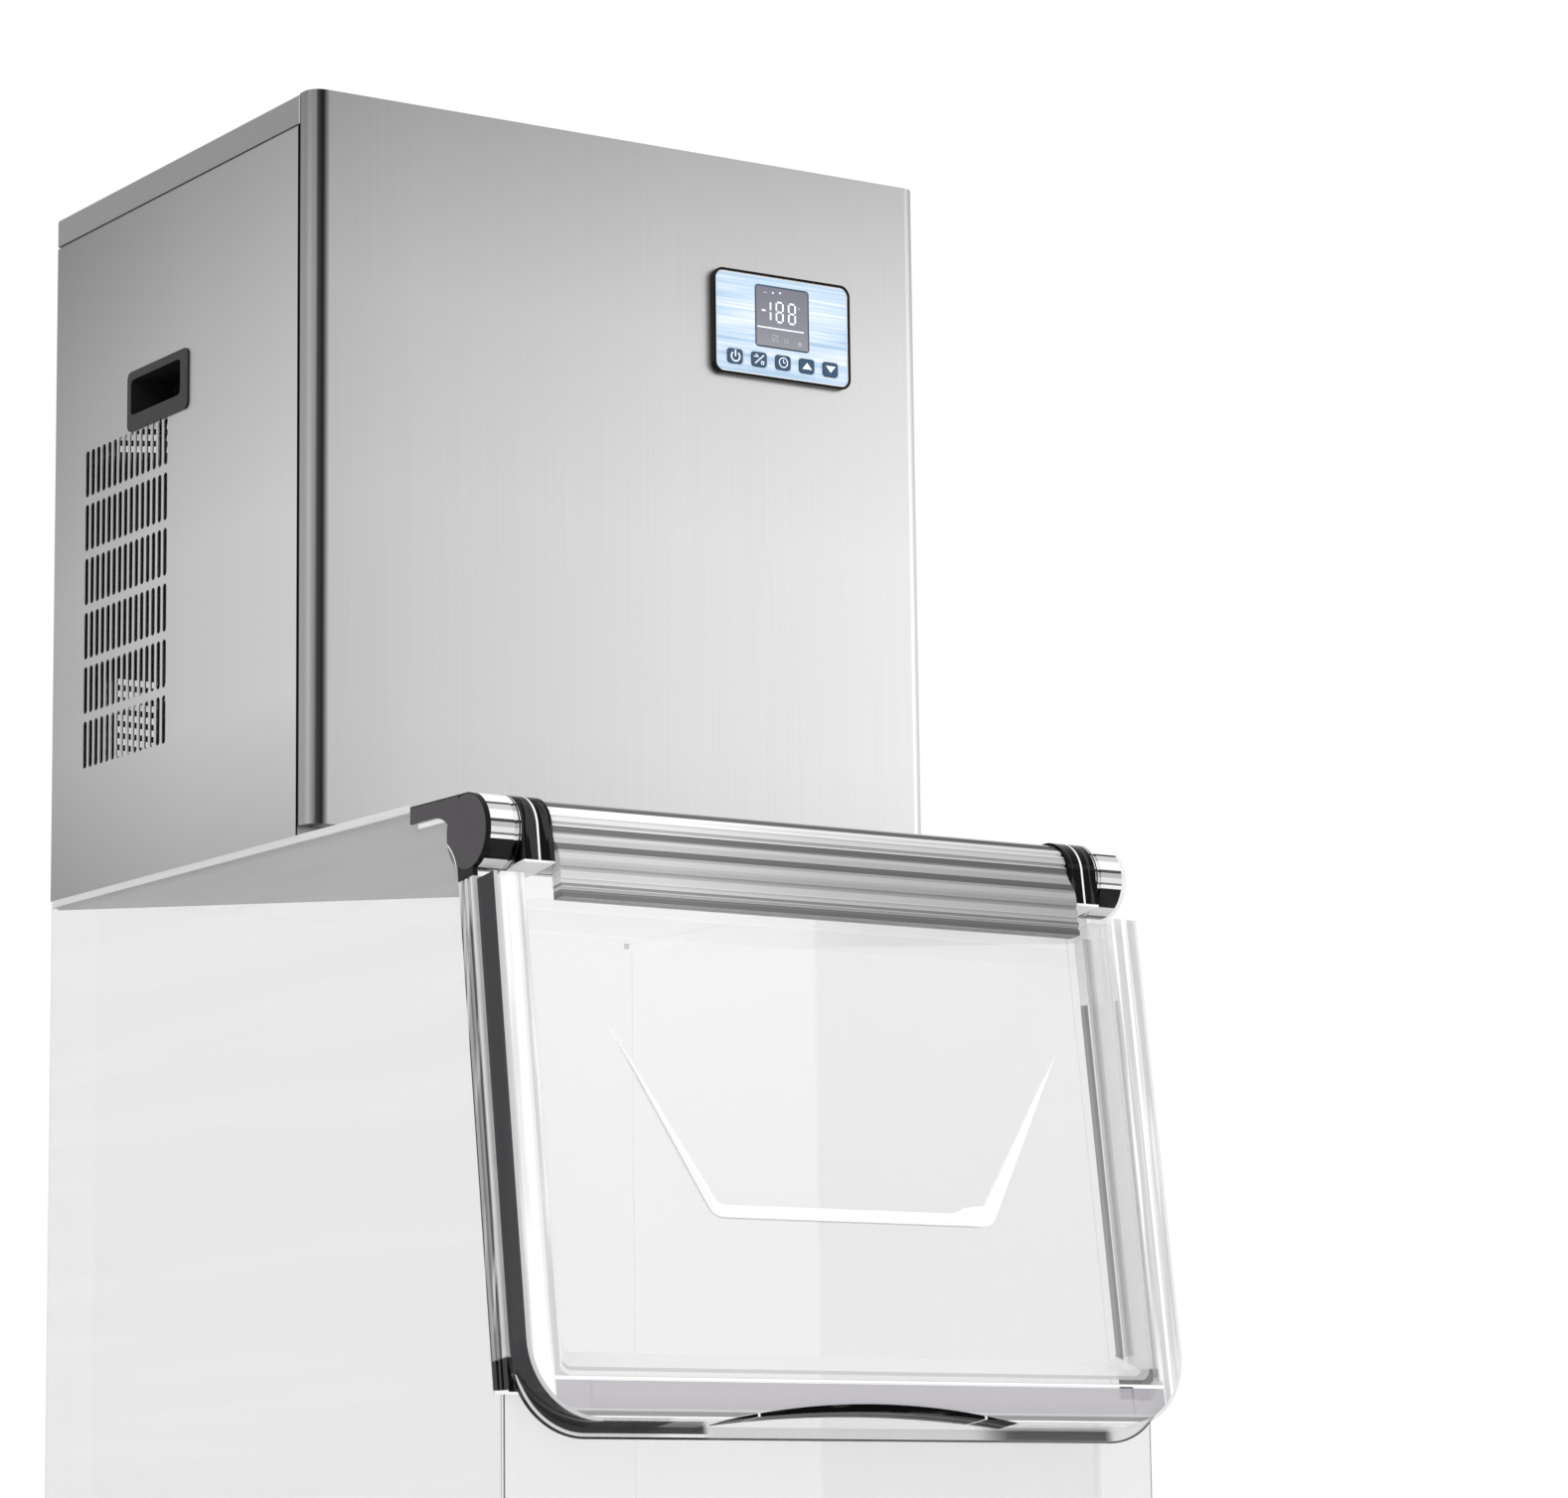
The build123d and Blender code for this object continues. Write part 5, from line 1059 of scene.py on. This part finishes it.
def row_tree():
    """The node tree that lays level bars in rows one above the other."""
    tree = bpy.data.node_groups.new("bar_rows", "GeometryNodeTree")
    for label, kind in (
        ("Start", "NodeSocketVector"),
        ("Rows", "NodeSocketInt"),
        ("Pitch", "NodeSocketVector"),
        ("Bar", "NodeSocketVector"),
        ("Turn", "NodeSocketRotation"),
        ("Finish", "NodeSocketMaterial"),
    ):
        tree.interface.new_socket(label, in_out="INPUT", socket_type=kind)
    tree.interface.new_socket("Geometry", in_out="OUTPUT", socket_type="NodeSocketGeometry")
    given = tree.nodes.new("NodeGroupInput")
    line = tree.nodes.new("GeometryNodeMeshLine")
    cube = tree.nodes.new("GeometryNodeMeshCube")
    place = tree.nodes.new("GeometryNodeInstanceOnPoints")
    real = tree.nodes.new("GeometryNodeRealizeInstances")
    paint = tree.nodes.new("GeometryNodeSetMaterial")
    end = tree.nodes.new("NodeGroupOutput")
    for source, target in (
        (given.outputs["Rows"], line.inputs["Count"]),
        (given.outputs["Start"], line.inputs["Start Location"]),
        (given.outputs["Pitch"], line.inputs["Offset"]),
        (given.outputs["Bar"], cube.inputs["Size"]),
        (line.outputs["Mesh"], place.inputs["Points"]),
        (cube.outputs["Mesh"], place.inputs["Instance"]),
        (given.outputs["Turn"], place.inputs["Rotation"]),
        (place.outputs["Instances"], real.inputs["Geometry"]),
        (real.outputs["Geometry"], paint.inputs["Geometry"]),
        (given.outputs["Finish"], paint.inputs["Material"]),
        (paint.outputs["Geometry"], end.inputs["Geometry"]),
    ):
        tree.links.new(source, target)
    return tree


def bar_rows(name, tree, material, **inputs):
    """A finished piece of bars in rows, made by the node tree with these inputs."""
    holder = bpy.data.objects.new(name + "_rows", bpy.data.meshes.new(name + "_rows"))
    bpy.context.scene.collection.objects.link(holder)
    modifier = holder.modifiers.new("rows", "NODES")
    modifier.node_group = tree
    inputs["Finish"] = material
    for item in tree.interface.items_tree:
        if item.item_type == "SOCKET" and item.in_out == "INPUT":
            modifier[item.identifier] = inputs[item.name]
    graph = bpy.context.evaluated_depsgraph_get()
    mesh = bpy.data.meshes.new_from_object(holder.evaluated_get(graph))
    mesh.name = name
    holder.modifiers.remove(modifier)
    bpy.data.objects.remove(holder)
    return piece(name, mesh, material, "cabinet")


# Operators


class FinishCabinet(bpy.types.Operator):
    """Give the head's sheet metal, handles and hidden parts their finishes"""

    bl_idname = "icemachine.finish_cabinet"
    bl_label = "Finish cabinet"

    def execute(self, context):
        settings = context.scene.ice_cabinet
        lines = settings.grain
        dress(brushed("steel_front_painted_light", front_painted_light_tone, (lines, lines, 5), settings.rough), "front_panel")
        dress(
            brushed("steel_side_painted_shade", side_painted_shade_tone, (lines, lines, 5), settings.rough),
            "left_side_panel",
            "right_side_panel",
        )
        # Painted shade: the lid's steel is an even grey, darker than the front and sides
        dress(brushed("steel_lid_painted_shade", plain_tone(142), (lines, 5, lines), settings.rough), "top_panel")
        dress(
            brushed("zinc_sheet", plain_tone(190), (40, 40, 40), 0.45),
            "rear_panel",
            "base_pan",
            "divider_wall",
            "fan_shroud",
        )
        dress(
            moulded("black_handle", grey(30), 0.35, Specular_IOR_Level=0.15),
            "left_recessed_handle",
            "right_recessed_handle",
        )
        dress(moulded("black_motor", grey(40), 0.5), "pump_motor", "fan_blade", "power_inlet")
        dress(moulded("grey_motor", grey(95), 0.5), "fan_motor")
        dress(moulded("black_paint", grey(30), 0.3), "compressor")
        dress(moulded("soft_rubber", grey(25), 0.8), "compressor_mounts")
        dress(
            moulded("white_moulding", grey(225), 0.4),
            "water_distributor",
            "water_trough",
            "pump_impeller",
            "float_valve",
            "float_arm",
            "feed_riser",
            "inlet_valve",
        )
        dress(metal("plated_cells", grey(200), 0.2), "evaporator")
        dress(metal("fin_stack", grey(70), 0.45, (20, 20, 900)), "condenser")
        dress(metal("copper_tube", (0.60, 0.28, 0.16), 0.25), "refrigerant_lines")
        dress(metal("turned_steel", grey(200), 0.22, (60, 60, 900)), "bin_legs", "panel_screws")
        dress(metal("foot_steel", grey(190), 0.3, (60, 60, 900)), *FEET)
        curtain = Finish("clear_curtain")
        rib = curtain.noise((60, 60, 4))
        dress(
            see_through(curtain, curtain.blend(rib, grey(205), grey(235)), 0.7), "ice_curtain"
        )
        return {"FINISHED"}


class FinishControls(bpy.types.Operator):
    """Give the control panel its finishes, numerals, icons and edge line"""

    bl_idname = "icemachine.finish_controls"
    bl_label = "Finish controls"

    def execute(self, context):
        settings = context.scene.ice_display
        dress(moulded("black_bezel", grey(5), 0.2, Specular_IOR_Level=0.1), "control_bezel")
        dress(face_finish(), "control_fascia")
        dress(display_finish(), "display_window")
        dress(moulded("green_board", (0.02, 0.12, 0.05), 0.4), "control_board")
        dress(
            moulded("slate_button", (0.045, 0.085, 0.15), 0.25, Specular_IOR_Level=0.2), *BUTTONS
        )
        lit = glowing("lit_marks", tuple(settings.mark_colour), 0.25)
        marks = []
        x = CONTROL_X + DIGIT_START
        for sign in settings.digits:
            width = DASH_WIDTH if sign == "-" else DIGIT_WIDTH
            if sign == "1":
                x -= DIGIT_WIDTH - DASH_WIDTH / 2
            marks += digit_outlines(sign, x + width / 2, DISPLAY_UP + 4.6, width, DIGIT_HEIGHT, 1.5)
            x += width + (DASH_GAP if sign == "-" else DIGIT_GAP)
        marks.append(bar_outline(CONTROL_X - 1.7, DISPLAY_UP - 9.2, 44.5, 1.1))
        marks += [
            bar_outline(CONTROL_X - 8.7, DISPLAY_UP + 19.9, 1.5, 1.5),
            bar_outline(CONTROL_X - 1.8, DISPLAY_UP + 20.5, 1.5, 1.5),
        ]
        piece(
            "display_numerals",
            plates("display_numerals", marks, DISPLAY_FACE - MARK_DEPTH, MARK_DEPTH),
            lit,
            "cabinet",
        )
        faint = (
            [wedge_outline(CONTROL_X + 16.7, DISPLAY_UP - 18.2, 5.4, 2.4)]
            + [bar_outline(CONTROL_X + 16.7, DISPLAY_UP - 20.4, 3.2, 1.2)]
            + [slash_outline(CONTROL_X - 7.2, DISPLAY_UP - 17.4, 3.6, 3.6, 0.6)]
            + frame_outlines(CONTROL_X - 7.2, DISPLAY_UP - 17.4, 5.2, 5.2, 0.6)
            + frame_outlines(CONTROL_X + 3.6, DISPLAY_UP - 18.4, 3.4, 2.6, 0.5)
            + [bar_outline(CONTROL_X + 16.1, DISPLAY_UP + 9.8, 1.6, 1.6)]
            + [bar_outline(CONTROL_X - 16.2, DISPLAY_UP + 19.3, 4.0, 0.8)]
        )
        piece(
            "display_icons",
            plates("display_icons", faint, DISPLAY_FACE - MARK_DEPTH, MARK_DEPTH),
            glowing("faint_marks", tuple(settings.faint_colour), 0.1),
            "cabinet",
        )
        for kind in BUTTONS:
            low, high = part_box(kind)
            outlines = button_outlines(kind, (low[0] + high[0]) * 500, BUTTON_UP)
            mesh = plates(kind + "_mark", outlines, BUTTON_FACE - MARK_DEPTH, MARK_DEPTH)
            piece(kind + "_mark", mesh, lit, kind + "_body")
        return {"FINISHED"}


class BuildGrille(bpy.types.Operator):
    """Lay pale bars behind the louvres at their top and foot, glowing as painted light that shows
    through the louvres
    """

    bl_idname = "icemachine.build_grille"
    bl_label = "Build grille"

    def execute(self, context):
        settings = context.scene.ice_grille
        tree = row_tree()
        # Painted light: the pale bars glow, though they are no lamp
        pale = glowing("glowing_bars_painted_light", grey(215), 0.35)
        for name, behind, up, length, rows in (
            ("grille_top", 304.5, 350.4, 73.0, 3),
            ("grille_top_front", 245.0, 338.2, 18.0, 3),
            ("grille_foot", 304.5, 101.2, 73.0, 7),
            ("grille_foot_front", 245.0, 138.0, 18.0, 2),
        ):
            bar_rows(
                name,
                tree,
                pale,
                Start=(GRILLE_X, HEAD.y + behind * MILLI, HEAD.z + up * MILLI),
                Rows=rows,
                Pitch=(0, 0, settings.pitch),
                Bar=(GRILLE_DEPTH, length * MILLI, settings.height),
                Turn=(settings.slant, 0, 0),
            )
        return {"FINISHED"}


class FinishBin(bpy.types.Operator):
    """Give the clear bin, its deck and its hinge parts their finishes"""

    bl_idname = "icemachine.finish_bin"
    bl_label = "Finish bin"

    def execute(self, context):
        dress(shell_finish(), "bin_shell")
        dress(liner_finish(), "bin_liner")
        dress(deck_finish(), "bin_deck")
        dress(gusset_finish("smoked_gusset", False), "left_hinge_gusset")
        dress(gusset_finish("gusset_painted_lit", True), "right_hinge_gusset")
        dress(trim_finish(), "left_side_trim", "right_side_trim")
        dress(cap_finish(), "hinge_caps")
        dress(moulded("drain_pipe", grey(220), 0.4), "bin_drain")
        return {"FINISHED"}


class FinishDoor(bpy.types.Operator):
    """Give the clear door, its bar and its grip their finishes"""

    bl_idname = "icemachine.finish_door"
    bl_label = "Finish door"

    def execute(self, context):
        dress(rim_finish(), "door_frame")
        dress(window_finish(), "door_window")
        dress(skin_finish(), "door_liner")
        seal = Finish("clear_seal")
        grain = seal.noise((200, 200, 200))
        tone = seal.blend(grain, grey(225), grey(240))
        dress(see_through(seal, tone, 0.05, rough=0.3), "door_gasket")
        dress(bar_finish(), "hinge_bar")
        dress(block_finish(), "left_hinge_block", "right_hinge_block")
        dress(grip_finish(), "door_grip")
        dress(edge_band_finish(), "door_edge_band")
        return {"FINISHED"}


class BuildStage(bpy.types.Operator):
    """Lay the floor and set up the studio light and the camera"""

    bl_idname = "icemachine.build_stage"
    bl_label = "Build stage"

    def execute(self, context):
        settings = context.scene.ice_stage
        half = settings.floor_size / 2
        mesh = bpy.data.meshes.new("studio_floor")
        mesh.from_pydata(
            [(-half, -half, 0), (half, -half, 0), (half, half, 0), (-half, half, 0)],
            [],
            [(0, 1, 2, 3)],
        )
        floor = bpy.data.objects.new("studio_floor", mesh)
        context.scene.collection.objects.link(floor)
        floor.data.materials.append(moulded("pale_floor", grey(240), 0.6))

        context.scene.view_settings.view_transform = "Standard"
        context.scene.cycles.transparent_max_bounces = SEE_THROUGH_LAYERS
        world = bpy.data.worlds.new("studio_world")
        context.scene.world = world
        world.use_nodes = True
        tree = world.node_tree
        background = tree.nodes["Background"]
        background.inputs["Color"].default_value = (1, 1, 1, 1)
        background.inputs["Strength"].default_value = settings.brightness

        for name, place, aim, width, height, power in (
            ("key_light", (-2.6, -2.6, 3.0), (0, 0, 1.1), 1.6, 1.6, 30.0),
            ("fill_light", (3.0, -2.2, 2.0), (0, 0, 1.0), 1.6, 2.4, 15.0),
        ):
            lamp = bpy.data.lights.new(name, "AREA")
            lamp.shape = "RECTANGLE"
            lamp.size, lamp.size_y, lamp.energy = width, height, power
            holder = bpy.data.objects.new(name, lamp)
            direction = Vector(aim) - Vector(place)
            holder.matrix_world = Matrix.Translation(place) @ direction.to_track_quat(
                "-Z", "Y"
            ).to_matrix().to_4x4()
            context.scene.collection.objects.link(holder)

        yaw, pitch, roll = CAMERA_TURN
        ahead = Vector((math.sin(yaw), math.cos(yaw), 0))
        right = Vector((math.cos(yaw), -math.sin(yaw), 0))
        forward = math.cos(pitch) * ahead + math.sin(pitch) * UP
        above = -math.sin(pitch) * ahead + math.cos(pitch) * UP
        side = math.cos(roll) * right + math.sin(roll) * above
        top = -math.sin(roll) * right + math.cos(roll) * above
        x, y, z = CAMERA_PLACE
        place = Vector((x, HEAD.y + y, HEAD.z + z))
        camera = bpy.data.cameras.new("photo_camera")
        camera.sensor_width = SENSOR_WIDTH
        camera.lens = FOCAL_PIXELS * SENSOR_WIDTH / PHOTO_WIDTH
        camera.shift_x = (PHOTO_WIDTH / 2 - VIEW_CENTRE) / PHOTO_WIDTH
        camera.clip_end = 50.0
        holder = bpy.data.objects.new("photo_camera", camera)
        turn = Matrix((side, top, -forward)).transposed().to_4x4()
        holder.matrix_world = Matrix.Translation(place) @ turn
        context.scene.collection.objects.link(holder)
        context.scene.camera = holder
        return {"FINISHED"}


class IceMachinePanel(bpy.types.Panel):
    """Steps that dress the ice machine"""

    bl_idname = "VIEW3D_PT_icemachine"
    bl_label = "Ice machine"
    bl_space_type = "VIEW_3D"
    bl_region_type = "UI"
    bl_category = "Ice machine"

    def draw(self, context):
        scene = context.scene
        for group in SETTINGS:
            settings = getattr(scene, group)
            for key in settings.bl_rna.properties.keys():
                if key not in ("rna_type", "name"):
                    self.layout.prop(settings, key)
        for operator in OPERATORS:
            self.layout.operator(operator.bl_idname)


SETTINGS = {
    "ice_cabinet": CabinetSettings,
    "ice_grille": GrilleSettings,
    "ice_display": DisplaySettings,
    "ice_stage": StageSettings,
}
OPERATORS = (FinishCabinet, FinishControls, BuildGrille, FinishBin, FinishDoor, BuildStage)


def register():
    for name, group in SETTINGS.items():
        bpy.utils.register_class(group)
        setattr(bpy.types.Scene, name, bpy.props.PointerProperty(type=group))
    for operator in OPERATORS:
        bpy.utils.register_class(operator)
    bpy.utils.register_class(IceMachinePanel)


def unregister():
    bpy.utils.unregister_class(IceMachinePanel)
    for operator in reversed(OPERATORS):
        bpy.utils.unregister_class(operator)
    for name, group in SETTINGS.items():
        delattr(bpy.types.Scene, name)
        bpy.utils.unregister_class(group)


def main():
    register()
    bpy.ops.icemachine.finish_cabinet()
    bpy.ops.icemachine.finish_controls()
    bpy.ops.icemachine.build_grille()
    bpy.ops.icemachine.finish_bin()
    bpy.ops.icemachine.finish_door()
    bpy.ops.icemachine.build_stage()


if __name__ == "__main__":
    main()
